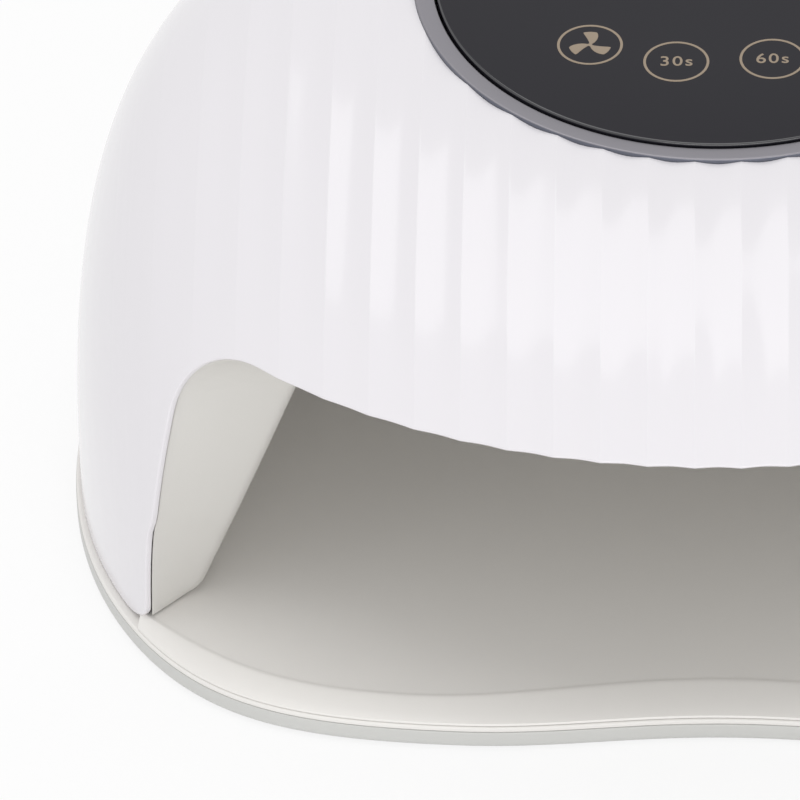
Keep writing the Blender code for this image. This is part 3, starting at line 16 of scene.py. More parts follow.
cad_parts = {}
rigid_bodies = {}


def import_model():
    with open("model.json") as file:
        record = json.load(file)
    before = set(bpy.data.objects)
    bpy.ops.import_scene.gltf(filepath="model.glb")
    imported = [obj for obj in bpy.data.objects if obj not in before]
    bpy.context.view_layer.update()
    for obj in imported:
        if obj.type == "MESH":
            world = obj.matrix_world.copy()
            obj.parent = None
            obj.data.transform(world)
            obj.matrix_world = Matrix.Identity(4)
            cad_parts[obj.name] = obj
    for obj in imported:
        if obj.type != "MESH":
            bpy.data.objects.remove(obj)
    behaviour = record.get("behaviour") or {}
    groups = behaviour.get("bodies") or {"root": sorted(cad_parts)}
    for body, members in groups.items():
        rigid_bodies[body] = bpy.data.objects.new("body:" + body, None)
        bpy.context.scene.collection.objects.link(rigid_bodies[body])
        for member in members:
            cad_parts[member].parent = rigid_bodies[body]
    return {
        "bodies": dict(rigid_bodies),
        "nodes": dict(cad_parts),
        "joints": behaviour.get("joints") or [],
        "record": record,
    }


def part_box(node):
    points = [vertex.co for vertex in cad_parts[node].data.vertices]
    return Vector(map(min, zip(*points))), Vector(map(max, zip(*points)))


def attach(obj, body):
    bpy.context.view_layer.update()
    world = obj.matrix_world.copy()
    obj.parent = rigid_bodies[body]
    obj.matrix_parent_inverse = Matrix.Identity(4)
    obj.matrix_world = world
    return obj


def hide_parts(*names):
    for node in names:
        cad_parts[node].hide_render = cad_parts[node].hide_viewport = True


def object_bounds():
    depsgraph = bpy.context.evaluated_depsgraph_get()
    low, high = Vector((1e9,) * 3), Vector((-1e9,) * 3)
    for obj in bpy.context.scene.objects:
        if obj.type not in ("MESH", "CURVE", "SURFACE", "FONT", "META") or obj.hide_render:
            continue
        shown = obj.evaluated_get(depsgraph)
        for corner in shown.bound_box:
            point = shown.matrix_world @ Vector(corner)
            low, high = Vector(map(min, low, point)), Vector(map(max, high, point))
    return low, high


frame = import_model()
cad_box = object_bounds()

scene = bpy.context.scene
size = np.array(cad_box[1]) - np.array(cad_box[0])
print("CAD size in mm:", [round(float(side) * 1000, 1) for side in size])

# %% [markdown]
# The camera stands where the photographer's stood: in front of the lamp, 1.3 m away and 33
# degrees up. The picture is a crop off the lens's middle. A shift of the lens would give the
# same crop, but a small turn of the camera gives it too, and other views can then reuse it.

# %% Camera
VIEW_DISTANCE = 1.300
VIEW_TILT = math.radians(33)
FRAME_PIXELS = 800
FOCAL_PIXELS = 7103
AIM_PIXEL = (718.0, 449.04)
SENSOR_WIDTH = 36.0
TABLE_LIFT = 0.0005

toward_camera = Vector((0, -math.cos(VIEW_TILT), math.sin(VIEW_TILT)))
right = Vector((1, 0, 0))
up = Vector((0, math.sin(VIEW_TILT), math.cos(VIEW_TILT)))
off_x = FRAME_PIXELS / 2 - AIM_PIXEL[0]
off_y = AIM_PIXEL[1] - FRAME_PIXELS / 2
forward = (-toward_camera * FOCAL_PIXELS + right * off_x + up * off_y).normalized()
level_up = (up - forward * up.dot(forward)).normalized()
level_right = forward.cross(level_up)

lens = bpy.data.cameras.new("photo_camera")
lens.sensor_width = SENSOR_WIDTH
lens.lens = FOCAL_PIXELS * SENSOR_WIDTH / FRAME_PIXELS
lens.clip_end = 50
camera = bpy.data.objects.new("photo_camera", lens)
turn = Matrix((level_right, level_up, -forward)).transposed().to_4x4()
camera.matrix_world = Matrix.Translation(toward_camera * VIEW_DISTANCE
                                         + Vector((0, 0, TABLE_LIFT))) @ turn
scene.collection.objects.link(camera)
scene.camera = camera
print("lens in mm:", round(lens.lens, 1))

# %% [markdown]
# A product studio wraps the object in soft light: a pale room on all sides, a wide softbox in
# front that shows as streaks in the flutes, and one above. Only the camera and reflections see
# the room as pure white. What lights the object is weaker, so its own colours come out as they
# are written.

# %% Room and softboxes
ROOM_LIGHT = 0.75
scene.view_settings.view_transform = "Standard"
world = bpy.data.worlds.new("studio_room")
scene.world = world
world.use_nodes = True
nodes, links = world.node_tree.nodes, world.node_tree.links
background = nodes["Background"]
background.inputs["Color"].default_value = (1, 1, 1, 1)
ray = nodes.new("ShaderNodeLightPath")


def seen_directly(nodes, links, ray):
    """1 for rays from the camera, off a gloss or through glass, and 0 for light."""
    total = ray.outputs["Is Camera Ray"]
    for other in ("Is Glossy Ray", "Is Transmission Ray"):
        add = nodes.new("ShaderNodeMath")
        add.operation = "MAXIMUM"
        links.new(total, add.inputs[0])
        links.new(ray.outputs[other], add.inputs[1])
        total = add.outputs[0]
    return total


strength = nodes.new("ShaderNodeMapRange")
strength.inputs["To Min"].default_value = ROOM_LIGHT
strength.inputs["To Max"].default_value = 1.0
links.new(seen_directly(nodes, links, ray), strength.inputs["Value"])
links.new(strength.outputs["Result"], background.inputs["Strength"])


def softbox(name, place, aim, width, height, power):
    light = bpy.data.lights.new(name, "AREA")
    light.shape = "RECTANGLE"
    light.size = width
    light.size_y = height
    light.energy = power
    lamp = bpy.data.objects.new(name, light)
    heading = Vector(place) - Vector(aim)
    turn = heading.to_track_quat("Z", "Y").to_matrix().to_4x4()
    lamp.matrix_world = Matrix.Translation(place) @ turn
    lamp.visible_camera = False
    scene.collection.objects.link(lamp)
    return lamp


softbox("front_softbox", (0.12, -1.35, 0.38), (0, -0.05, 0.05), 1.30, 0.42, 4.6)
softbox("top_softbox", (-0.20, 0.10, 1.50), (0, 0, 0.05), 1.2, 1.2, 5.0)
print("room light:", ROOM_LIGHT)

# %% [markdown]
# The lamp stands on a plain pale table. Most of what the camera sees of it is plain white, and
# the rest is a matt surface, so the tray still has its thin contact shadow.

# %% Table
TABLE_HALF = 3.0
TABLE_GLOW_SHARE = 0.84
table_mesh = bpy.data.meshes.new("table")
corners = [(-TABLE_HALF, -TABLE_HALF, 0), (TABLE_HALF, -TABLE_HALF, 0),
           (TABLE_HALF, TABLE_HALF, 0), (-TABLE_HALF, TABLE_HALF, 0)]
table_mesh.from_pydata(corners, [], [(0, 1, 2, 3)])
table = bpy.data.objects.new("table", table_mesh)
scene.collection.objects.link(table)
table_look = bpy.data.materials.new("pale_table")
table_look.use_nodes = True
nodes, links = table_look.node_tree.nodes, table_look.node_tree.links
shader = nodes["Principled BSDF"]
shader.inputs["Base Color"].default_value = (0.92, 0.92, 0.92, 1)
shader.inputs["Roughness"].default_value = 0.9
glow = nodes.new("ShaderNodeEmission")
blend = nodes.new("ShaderNodeMixShader")
ray = nodes.new("ShaderNodeLightPath")
share = nodes.new("ShaderNodeMath")
share.operation = "MULTIPLY"
share.inputs[1].default_value = TABLE_GLOW_SHARE
links.new(seen_directly(nodes, links, ray), share.inputs[0])
links.new(share.outputs[0], blend.inputs["Fac"])
links.new(shader.outputs[0], blend.inputs[1])
links.new(glow.outputs[0], blend.inputs[2])
links.new(blend.outputs[0], nodes["Material Output"].inputs["Surface"])
table_mesh.materials.append(table_look)
print("table reaches", TABLE_HALF, "m each way")

# %% [markdown]
# Moulded plastic is never one flat value. It has a fine grain from the mould's surface, broad
# soft changes where it cooled unevenly, and a little dust on what faces up. These effects are
# shader groups with named inputs, so each finish can place them at its own strength.

# %% Shader groups


def new_group(name, inputs, outputs):
    """An empty shader group. Each input is a name and a value, each output a name and a type."""
    group = bpy.data.node_groups.new(name, "ShaderNodeTree")
    for label, value in inputs:
        socket = group.interface.new_socket(label, in_out="INPUT", socket_type="NodeSocketFloat")
        socket.default_value = value
    for label, kind in outputs:
        group.interface.new_socket(label, in_out="OUTPUT", socket_type=kind)
    start = group.nodes.new("NodeGroupInput")
    end = group.nodes.new("NodeGroupOutput")
    return group, start, end


def math_node(tree, operation, first, second=None):
    """A Math node whose inputs are numbers or sockets."""
    node = tree.nodes.new("ShaderNodeMath")
    node.operation = operation
    for index, value in enumerate((first, second)):
        if value is None:
            continue
        if isinstance(value, (int, float)):
            node.inputs[index].default_value = value
        else:
            tree.links.new(value, node.inputs[index])
    return node.outputs[0]


def noise(tree, place, scale, detail):
    """Noise on a place, with its scale as a number or a socket."""
    node = tree.nodes.new("ShaderNodeTexNoise")
    node.inputs["Detail"].default_value = detail
    tree.links.new(place, node.inputs["Vector"])
    if isinstance(scale, (int, float)):
        node.inputs["Scale"].default_value = scale
    else:
        tree.links.new(scale, node.inputs["Scale"])
    return node.outputs["Fac"]


grain_group, start, end = new_group(
    "moulded_grain",
    [("Grain Scale", 2500.0), ("Grain Depth", 0.2), ("Cloud Scale", 14.0), ("Cloud Depth", 0.1)],
    [("Height", "NodeSocketFloat"), ("Tone", "NodeSocketFloat")])
place = grain_group.nodes.new("ShaderNodeTexCoord").outputs["Object"]
fine = noise(grain_group, place, start.outputs["Grain Scale"], 3.0)
broad = noise(grain_group, place, start.outputs["Cloud Scale"], 2.0)
height = math_node(grain_group, "MULTIPLY", fine, start.outputs["Grain Depth"])
centred = math_node(grain_group, "SUBTRACT", broad, 0.5)
cloud = math_node(grain_group, "MULTIPLY", centred, start.outputs["Cloud Depth"])
tone = math_node(grain_group, "ADD", cloud, 1.0)
grain_group.links.new(height, end.inputs["Height"])
grain_group.links.new(tone, end.inputs["Tone"])

dust_group, start, end = new_group(
    "settled_dust", [("Amount", 0.1), ("Speck Scale", 900.0)], [("Mask", "NodeSocketFloat")])
normal = dust_group.nodes.new("ShaderNodeNewGeometry").outputs["Normal"]
split = dust_group.nodes.new("ShaderNodeSeparateXYZ")
dust_group.links.new(normal, split.inputs[0])
place = dust_group.nodes.new("ShaderNodeTexCoord").outputs["Object"]
upward = math_node(dust_group, "MAXIMUM", split.outputs["Z"], 0.0)
specks = noise(dust_group, place, start.outputs["Speck Scale"], 4.0)
patches = noise(dust_group, place, 22.0, 3.0)
both = math_node(dust_group, "MULTIPLY", specks, patches)
facing = math_node(dust_group, "MULTIPLY", both, upward)
dust_group.links.new(math_node(dust_group, "MULTIPLY", facing, start.outputs["Amount"]),
                     end.inputs["Mask"])

rub_group, start, end = new_group(
    "rubbed_edges", [("Amount", 0.3), ("Sharpness", 8.0)], [("Mask", "NodeSocketFloat")])
edge = rub_group.nodes.new("ShaderNodeNewGeometry").outputs["Pointiness"]
raised = math_node(rub_group, "SUBTRACT", edge, 0.5)
sharp = math_node(rub_group, "MULTIPLY", raised, start.outputs["Sharpness"])
place = rub_group.nodes.new("ShaderNodeTexCoord").outputs["Object"]
broken = math_node(rub_group, "MULTIPLY", sharp, noise(rub_group, place, 160.0, 3.0))
held = math_node(rub_group, "MINIMUM", math_node(rub_group, "MAXIMUM", broken, 0.0), 1.0)
rub_group.links.new(math_node(rub_group, "MULTIPLY", held, start.outputs["Amount"]),
                    end.inputs["Mask"])
print("groups:", [group.name for group in (grain_group, dust_group, rub_group)])

# %% [markdown]
# A finish is one Principled shader with those groups on it. The colour is multiplied by the
# broad tone, paled where dust lies and where edges are rubbed, and the grain goes through a
# Bump node. Numbers that are the same all over the surface sit on the shader's own sockets.

# %% Finish maker
DUST_COLOUR = (0.78, 0.76, 0.73)


def place_group(tree, group, **values):
    node = tree.nodes.new("ShaderNodeGroup")
    node.node_tree = group
    for label, value in values.items():
        node.inputs[label.replace("_", " ")].default_value = value
    return node


def mix_colour(tree, factor, first, second, mode="MIX"):
    node = tree.nodes.new("ShaderNodeMix")
    node.data_type = "RGBA"
    node.blend_type = mode
    factor_in, first_in, second_in = node.inputs[0], node.inputs[6], node.inputs[7]
    for socket, value in ((factor_in, factor), (first_in, first), (second_in, second)):
        if isinstance(value, (int, float)):
            socket.default_value = value
        elif isinstance(value, tuple):
            socket.default_value = (*value, 1.0)
        else:
            tree.links.new(value, socket)
    return node.outputs[2]


def finish(name, colour, roughness, grain, cloud, metallic=0.0, bump=0.00002, dust=0.0,
           rub=0.0, rough_swing=0.06, **fixed):
    """A finish with grain, tone, dust and rubbed edges. Fixed numbers go on the shader."""
    material = bpy.data.materials.new(name)
    material.use_nodes = True
    tree = material.node_tree
    shader = tree.nodes["Principled BSDF"]
    shader.inputs["Metallic"].default_value = metallic
    for label, value in fixed.items():
        shader.inputs[label.replace("_", " ").title().replace("Ior", "IOR")].default_value = value
    detail = place_group(tree, grain_group, Grain_Scale=grain[0], Grain_Depth=grain[1],
                         Cloud_Scale=cloud[0], Cloud_Depth=cloud[1])
    toned = mix_colour(tree, 1.0, colour, detail.outputs["Tone"], "MULTIPLY")
    if dust:
        mask = place_group(tree, dust_group, Amount=dust)
        toned = mix_colour(tree, mask.outputs["Mask"], toned, DUST_COLOUR)
    if rub:
        mask = place_group(tree, rub_group, Amount=rub)
        pale = tuple(min(1.0, part * 1.25 + 0.02) for part in colour)
        toned = mix_colour(tree, mask.outputs["Mask"], toned, pale)
    tree.links.new(toned, shader.inputs["Base Color"])
    swing = math_node(tree, "SUBTRACT", detail.outputs["Tone"], 1.0)
    swing = math_node(tree, "MULTIPLY", swing, rough_swing / max(cloud[1], 0.001))
    tree.links.new(math_node(tree, "ADD", swing, roughness), shader.inputs["Roughness"])
    relief = tree.nodes.new("ShaderNodeBump")
    relief.inputs["Distance"].default_value = bump
    relief.inputs["Strength"].default_value = 1.0
    tree.links.new(detail.outputs["Height"], relief.inputs["Height"])
    tree.links.new(relief.outputs["Normal"], shader.inputs["Normal"])
    return material


SHELL_LOOK = finish("white_gloss_plastic", (0.80, 0.78, 0.81), 0.20, grain=(700.0, 0.25),
                    cloud=(9.0, 0.015), dust=0.05, rough_swing=0.03, coat_weight=0.35,
                    coat_roughness=0.08)
LINER_LOOK = finish("warm_grey_satin_plastic", (0.69, 0.675, 0.645), 0.42,
                    grain=(2200.0, 0.6), cloud=(12.0, 0.04), dust=0.05)
# The rim and floor take the tray's pale grey, made paler than the pan as painted light that
# brightens the floor in the shade of the hollow.
TRAY_PAINTED_LIGHT_LOOK = finish("pale_grey_plastic_painted_light", (0.85, 0.83, 0.80), 0.40,
                   grain=(2200.0, 0.6), cloud=(10.0, 0.03), dust=0.06)
PAN_LOOK = finish("grey_satin_plastic", (0.62, 0.62, 0.60), 0.42,
                  grain=(2200.0, 0.6), cloud=(10.0, 0.04), dust=0.10)
COVER_LOOK = finish("cover_grey_plastic", (0.56, 0.55, 0.53), 0.55, grain=(1800.0, 1.0),
                    cloud=(16.0, 0.06), rub=0.3)
print("finishes:", SHELL_LOOK.name, LINER_LOOK.name, TRAY_PAINTED_LIGHT_LOOK.name, PAN_LOOK.name)

# %% [markdown]
# Most small pieces are solids of revolution, plates or lofts. A handful of helpers makes these
# from points and faces, turns the faces outwards and smooths all but the sharp edges.

# %% Mesh helpers


def ease(share):
    """A soft step from 0 to 1."""
    return share * share * (3 - 2 * share)


def make_piece(name, points, faces, look, sharp=32.0, turn_out=True):
    """A mesh object at the origin, with its place in its points."""
    mesh = bpy.data.meshes.new(name)
    mesh.from_pydata([tuple(point) for point in points], [], faces)
    if turn_out:
        work = bmesh.new()
        work.from_mesh(mesh)
        bmesh.ops.recalc_face_normals(work, faces=work.faces)
        work.to_mesh(mesh)
        work.free()
    mesh.shade_smooth()
    mesh.set_sharp_from_angle(angle=math.radians(sharp))
    for material in look if isinstance(look, (list, tuple)) else [look]:
        mesh.materials.append(material)
    piece = bpy.data.objects.new(name, mesh)
    scene.collection.objects.link(piece)
    return piece


def moved(shape, matrix):
    points, faces = shape
    return [tuple(matrix @ Vector(point)) for point in points], faces


def joined(shapes):
    points, faces = [], []
    for part_points, part_faces in shapes:
        start = len(points)
        points.extend(part_points)
        faces.extend([tuple(start + index for index in face) for face in part_faces])
    return points, faces


def turned(profile, sides):
    """A closed profile of radius and height, turned about Z, closed at the axis."""
    points, faces, rings = [], [], []
    for radius, height in profile:
        if radius == 0:
            rings.append([len(points)] * sides)
            points.append((0, 0, height))
        else:
            rings.append(list(range(len(points), len(points) + sides)))
            for step in range(sides):
                turn = 2 * math.pi * step / sides
                points.append((radius * math.cos(turn), radius * math.sin(turn), height))
    for ring, following in zip(rings, rings[1:] + rings[:1]):
        if ring[0] == ring[1] and following[0] == following[1]:
            continue
        for index in range(sides):
            after = (index + 1) % sides
            corners = [ring[index], ring[after], following[after], following[index]]
            faces.append(tuple(dict.fromkeys(corners)))
    return points, faces


def prism(outline, low, high):
    count = len(outline)
    points = [(x, y, low) for x, y in outline] + [(x, y, high) for x, y in outline]
    faces = [tuple(range(count - 1, -1, -1)), tuple(range(count, 2 * count))]
    for index in range(count):
        after = (index + 1) % count
        faces.append((index, after, count + after, count + index))
    return points, faces


def lofted(loops):
    """Closed loops of equal count, bridged in turn and capped at both ends."""
    count = len(loops[0])
    points = [tuple(point) for loop in loops for point in loop]
    faces = [tuple(range(count)), tuple(range(len(points) - count, len(points)))]
    for row in range(len(loops) - 1):
        for index in range(count):
            after = (index + 1) % count
            start = row * count
            faces.append((start + index, start + after,
                          start + count + after, start + count + index))
    return points, faces


def round_corner(corner, before, after, radius, steps=4):
    """Points of a round corner between two directions, for a profile of two numbers."""
    corner = np.array(corner)
    points = []
    for step in range(steps + 1):
        share = step / steps
        start = corner + np.array(before) * radius
        finish_point = corner + np.array(after) * radius
        point = (start * (1 - share) ** 2 + corner * 2 * share * (1 - share)
                 + finish_point * share ** 2)
        points.append((float(point[0]), float(point[1])))
    return points


def cut(piece, name, shape):
    """Cut a closed shape out of a piece and remove the cutter."""
    cutter = make_piece(name, *shape, [])
    step = piece.modifiers.new(name, "BOOLEAN")
    step.operation = "DIFFERENCE"
    step.solver = "EXACT"
    step.object = cutter
    bake(piece)
    bpy.data.objects.remove(cutter, do_unlink=True)


def bake(piece, sharp=None):
    """Turn what a piece's modifiers give into its own plain mesh."""
    evaluated = piece.evaluated_get(bpy.context.evaluated_depsgraph_get())
    mesh = bpy.data.meshes.new_from_object(evaluated)
    piece.modifiers.clear()
    piece.data = mesh
    if sharp is not None:
        mesh.shade_smooth()
        mesh.set_sharp_from_angle(angle=math.radians(sharp))


def triangle_count(piece):
    return sum(len(face.vertices) - 2 for face in piece.data.polygons)


def middle(node):
    """The middle of a CAD node's box."""
    low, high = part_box(node)
    return (Vector(low) + Vector(high)) / 2


print("sensor stands at", [round(1000 * part, 1) for part in middle("sensor_emitter")])

# %% [markdown]
# The dome is one injection moulding. Its sections grow from the round ring on top to the wide
# foot, along a rounded-square profile that is a little fuller at the sides than in front. It
# could be sculpted, or cut from a subdivided cube. A formula is better here, because the real
# shape follows a rule, and because the liner and the tray need the same formula.

# %% The dome's measure
HALF_WIDTH = 0.11596
FRONT_REACH = 0.11474
REAR_REACH = 0.1012
SECTION_SHIFT = -0.00163
RING_RADIUS = 0.05364
RING_CENTRE = Vector((0, 0.00443, 0.09735))
RING_TILT = math.radians(7.4)
SIDE_POWER = 2.92
FRONT_POWER = 2.53
CROWN_SHARE = 0.05
PLAN_POWER = 2.18
PLAN_RUN_POWER = 2.08
PLAN_SLACK_SHARE = 0.223
SHELL_WALL = 0.0022
FOOT_Z = 0.005
BEYOND = 0.4
REACH_HALVINGS = 36
WALL_HALVINGS = 40


def swell(rise, power):
    """How far a section has grown from the ring (0) to the foot (1) at a relative height."""
    crown = (1 - CROWN_SHARE ** power) ** (1 / power)
    level = np.clip(rise, 0, 1) * crown
    share = ((1 - level ** power) ** (1 / power) - CROWN_SHARE) / (1 - CROWN_SHARE)
    return np.clip(share, 0, 1)


def dome_measure(x, y, z):
    """Below 1 inside the dome and above 1 outside it."""
    ring_run = RING_RADIUS * math.cos(RING_TILT)
    ring_z = RING_CENTRE.z + (y - RING_CENTRE.y) * math.tan(RING_TILT)
    rise = (z - FOOT_Z) / (ring_z - FOOT_Z)
    side = swell(rise, SIDE_POWER)
    run = swell(rise, FRONT_POWER)
    half_width = RING_RADIUS + (HALF_WIDTH - RING_RADIUS) * side
    centre = RING_CENTRE.y + (SECTION_SHIFT - RING_CENTRE.y) * run
    reach = np.where(y < centre, FRONT_REACH, REAR_REACH)
    half_depth = ring_run + (reach - ring_run) * run
    power = 2 + (PLAN_POWER - 2) * side ** PLAN_RUN_POWER - 4 * PLAN_SLACK_SHARE * side * (1 - side)
    across = np.abs(x / half_width) ** power
    along = np.abs((y - centre) / half_depth) ** power
    return np.maximum((across + along) ** (1 / power), rise)


def dome_reach(x, turn):
    """How far the dome's surface is from the foot's middle line, at X and a turn about it."""
    near, far = np.zeros(turn.shape), np.full(turn.shape, 2 * HALF_WIDTH)
    for _ in range(REACH_HALVINGS):
        half = (near + far) / 2
        inside = dome_measure(x, SECTION_SHIFT - half * np.cos(turn),
                              FOOT_Z + half * np.sin(turn)) < 1
        near, far = np.where(inside, half, near), np.where(inside, far, half)
    return near


def dome_wall(x, z, side):
    """The Y of the dome's surface at X and Z: side is -1 in front and 1 behind."""
    x, z = np.broadcast_arrays(np.asarray(x, float), np.asarray(z, float))
    near = np.full(x.shape, SECTION_SHIFT)
    far = np.full(x.shape, side * BEYOND)
    for _ in range(WALL_HALVINGS):
        half = (near + far) / 2
        inside = dome_measure(x, half, z) < 1
        near, far = np.where(inside, half, near), np.where(inside, far, half)
    return near


def dome_normals(points):
    """The outward direction at points on the surface, from how the measure grows."""
    step = 1e-6
    slopes = []
    for axis in range(3):
        shift = np.zeros(3)
        shift[axis] = step
        ahead, behind = points + shift, points - shift
        slopes.append(dome_measure(*np.moveaxis(ahead, -1, 0))
                      - dome_measure(*np.moveaxis(behind, -1, 0)))
    normals = np.stack(slopes, axis=-1)
    return normals / np.linalg.norm(normals, axis=-1, keepdims=True)


print("front of the foot at Y", round(float(dome_wall(0, FOOT_Z, -1)) * 1000, 1), "mm")

# %% [markdown]
# The hand opening is an arch with slightly bowed legs and soft corners. Low down, each leg steps
# out by half a millimetre, as the photographed one does. A moulder thins the wall at such an edge
# so that it looks fine, and here the edge is a narrow flat band with rounded corners. The grid of
# the dome starts half a band outside the arch, and each leg ends in a rounded toe.

# %% The hand opening
OPENING_HALF_WIDTH = 0.0993
OPENING_TOP_Z = 0.06298
OPENING_SAG = 0.00068
OPENING_BOW = 2.6
CORNER_START_Z = 0.04896
CORNER_END_X = 0.07827
CORNER_WEIGHT = 0.750
LEG_STEP = 0.00062
LEG_STEP_LOW_Z = 0.0245
LEG_STEP_HIGH_Z = 0.0295
RIM_RADIUS = 0.0006
RIM_CORNER_POWER = 0.45
FOOT_ROUND = 0.00045
TOE_RADIUS = 0.0042


def opening_half(shrink, low, steps, leg_step=LEG_STEP):
    """Half the opening's outline, from a low height up the leg and in to the middle."""
    side_steps, corner_steps, top_steps = steps
    side_z = np.linspace(low, CORNER_START_Z, side_steps + 1)[:-1]
    below = np.clip((LEG_STEP_HIGH_Z - side_z) / (LEG_STEP_HIGH_Z - LEG_STEP_LOW_Z), 0, 1)
    side_x = (OPENING_HALF_WIDTH - OPENING_BOW * (side_z - FOOT_Z) ** 2
              + leg_step * ease(below))
    side = np.stack([side_x, side_z], axis=1)
    rise = CORNER_START_Z - FOOT_Z
    start = np.array([OPENING_HALF_WIDTH - OPENING_BOW * rise ** 2, CORNER_START_Z])
    to_top = OPENING_TOP_Z - CORNER_START_Z
    control = np.array([start[0] - 2 * OPENING_BOW * rise * to_top, OPENING_TOP_Z])
    stop = np.array([CORNER_END_X, OPENING_TOP_Z])
    u = np.linspace(0, 1, corner_steps + 1)[:, None]
    pull = 2 * CORNER_WEIGHT * u * (1 - u)
    corner = (((1 - u) ** 2 * start + pull * control + u ** 2 * stop)
              / ((1 - u) ** 2 + pull + u ** 2))
    top_x = np.linspace(CORNER_END_X, 0, top_steps + 1)[1:]
    top = np.stack([top_x, np.full(top_steps, OPENING_TOP_Z)], axis=1)
    line = np.concatenate([side, corner, top])
    inwards = 1 - (line[:, 0] / OPENING_HALF_WIDTH) ** 2
    line[:, 1] -= OPENING_SAG * inwards * (line[:, 1] - FOOT_Z) / (OPENING_TOP_Z - FOOT_Z)
    heading = np.gradient(line, axis=0)
    heading /= np.linalg.norm(heading, axis=1, keepdims=True)
    return line - np.stack([heading[:, 1], -heading[:, 0]], axis=1) * shrink


grown = opening_half(-RIM_RADIUS, FOOT_Z, (90, 120, 60))
foot_row_z = FOOT_Z + FOOT_ROUND
toe_z = foot_row_z + TOE_RADIUS
toe_x = float(np.interp(toe_z, grown[:, 1], grown[:, 0])) + TOE_RADIUS


def column_start(x):
    """The height at which the dome's front starts at X: the arch, the leg's edge or the foot."""
    x = abs(x)
    if x <= toe_x - TOE_RADIUS:
        return float(np.interp(x, grown[::-1, 0], grown[::-1, 1]))
    if x < toe_x:
        return toe_z - math.sqrt(TOE_RADIUS ** 2 - (toe_x - x) ** 2)
    return foot_row_z


roof_edge_y = float(dome_wall(0, OPENING_TOP_Z, -1))
print("roof edge at Y", round(roof_edge_y * 1000, 1), "mm, toe at X", round(toe_x * 1000, 2), "mm")

# %% [markdown]
# The flutes are shallow round hollows between sharp ridges, 7.85 mm apart. The columns of the
# grid follow them: each ridge has its own column, with a close neighbour on both sides, so that
# the ridge stays crisp but still catches a thin line of light. On the plain sides the columns
# are spread by height, because the wall there is nearly upright.

# %% Columns across the dome
FLUTE_PITCH = 0.00785
FLUTE_DEPTH = 0.00045
FLUTES_EACH_SIDE = 13
RIDGE_SOFTNESS = 0.4
FLUTE_SHARES = (-0.5, -0.48, -0.40, -0.27, -0.13, 0.0, 0.13, 0.27, 0.40, 0.48)
SIDE_COLUMNS = 20

last_ridge = (FLUTES_EACH_SIDE + 0.5) * FLUTE_PITCH
fluted_x = [(number + share) * FLUTE_PITCH
            for number in range(-FLUTES_EACH_SIDE, FLUTES_EACH_SIDE + 1)
            for share in FLUTE_SHARES] + [last_ridge]
edge_line = opening_half(-RIM_RADIUS, toe_z, (15, 16, 1))[:-1]
edge_x = [float(x) for x in edge_line[:, 0] if x < toe_x - TOE_RADIUS]
edge_x += [toe_x - TOE_RADIUS * math.cos(math.radians(step)) for step in (12, 25, 40, 55, 70, 90)]
rises = np.linspace(0.713, 0.03, SIDE_COLUMNS + 1)[1:]
side_x = list(RING_RADIUS + (HALF_WIDTH - RING_RADIUS) * swell(rises, SIDE_POWER))
wanted = sorted(fluted_x + edge_x + [-x for x in edge_x] + side_x + [-x for x in side_x])
ridges = {round((number + 0.5) * FLUTE_PITCH, 9) for number in range(-14, 14)}
columns = []
for x in wanted:
    crowded = columns and x - columns[-1] < 0.00006 and abs(x) < last_ridge
    if crowded and round(x, 9) in ridges:
        columns[-1] = x
    elif not crowded:
        columns.append(x)
print(len(columns), "columns")

# %% [markdown]
# Each column is an arch from the front, over the top and down to the rear foot, found by
# stepping rays round the foot's middle line. Its points are spread by length, and a little
# closer together where it bends.

# %% Arches of the outer face
ARCH_SAMPLES = 460
ARCH_ROWS = 104
BEND_SHARE = 0.22
THINNED_ROWS = 8

turns = np.linspace(0, math.pi, ARCH_SAMPLES)
column_x = np.array(columns)
reach = dome_reach(np.repeat(column_x[:, None], ARCH_SAMPLES, 1),
                   np.repeat(turns[None, :], len(columns), 0))
arch_y = SECTION_SHIFT - reach * np.cos(turns)
arch_z = FOOT_Z + reach * np.sin(turns)


def spread_arch(y, z, low):
    """Rows of one arch from a start height in front to the foot's row behind."""
    peak = int(np.argmax(z))
    index = np.arange(len(z))
    first = np.interp(low, z[:peak + 1], index[:peak + 1])
    last = np.interp(-foot_row_z, -z[peak:], index[peak:])
    step = np.hypot(np.diff(y), np.diff(z))
    heading = np.unwrap(np.arctan2(np.diff(z), np.diff(y)))
    bend = np.abs(np.diff(heading, prepend=heading[0]))
    travel = (1 - BEND_SHARE) * step / step.sum() + BEND_SHARE * bend / (bend.sum() + 1e-9)
    along = np.concatenate([[0], np.cumsum(travel)])
    ends = np.interp([first, last], index, along)
    places = np.interp(np.linspace(ends[0], ends[1], ARCH_ROWS + 1), along, index)
    return np.interp(places, index, y), np.interp(places, index, z)


outer = np.zeros((len(columns) + 2, ARCH_ROWS + 1, 3))
for number, x in enumerate(columns, start=1):
    y, z = spread_arch(arch_y[number - 1], arch_z[number - 1], column_start(x))
    z[0], z[-1] = column_start(x), foot_row_z
    outer[number, :, 0], outer[number, :, 1], outer[number, :, 2] = x, y, z
for number, side in ((0, -1), (-1, 1)):
    neighbour = outer[1 if side < 0 else -2]
    outer[number, :, 0] = side * HALF_WIDTH
    outer[number, :, 1] = np.linspace(neighbour[0, 1], neighbour[-1, 1], ARCH_ROWS + 1)
    outer[number, :, 2] = foot_row_z
outward = dome_normals(outer)
across_rows = np.minimum(np.arange(ARCH_ROWS + 1), ARCH_ROWS - np.arange(ARCH_ROWS + 1))
across_columns = np.minimum(np.arange(len(outer)), len(outer) - 1 - np.arange(len(outer)))
from_edge = np.minimum(across_rows[None, :], across_columns[:, None]) / THINNED_ROWS
from_edge = ease(np.clip(from_edge, 0, 1))
walls = 2 * RIM_RADIUS + (SHELL_WALL - 2 * RIM_RADIUS) * from_edge
inner = outer - outward * walls[:, :, None]
level = outward * np.array([1.0, 1.0, 0.0])
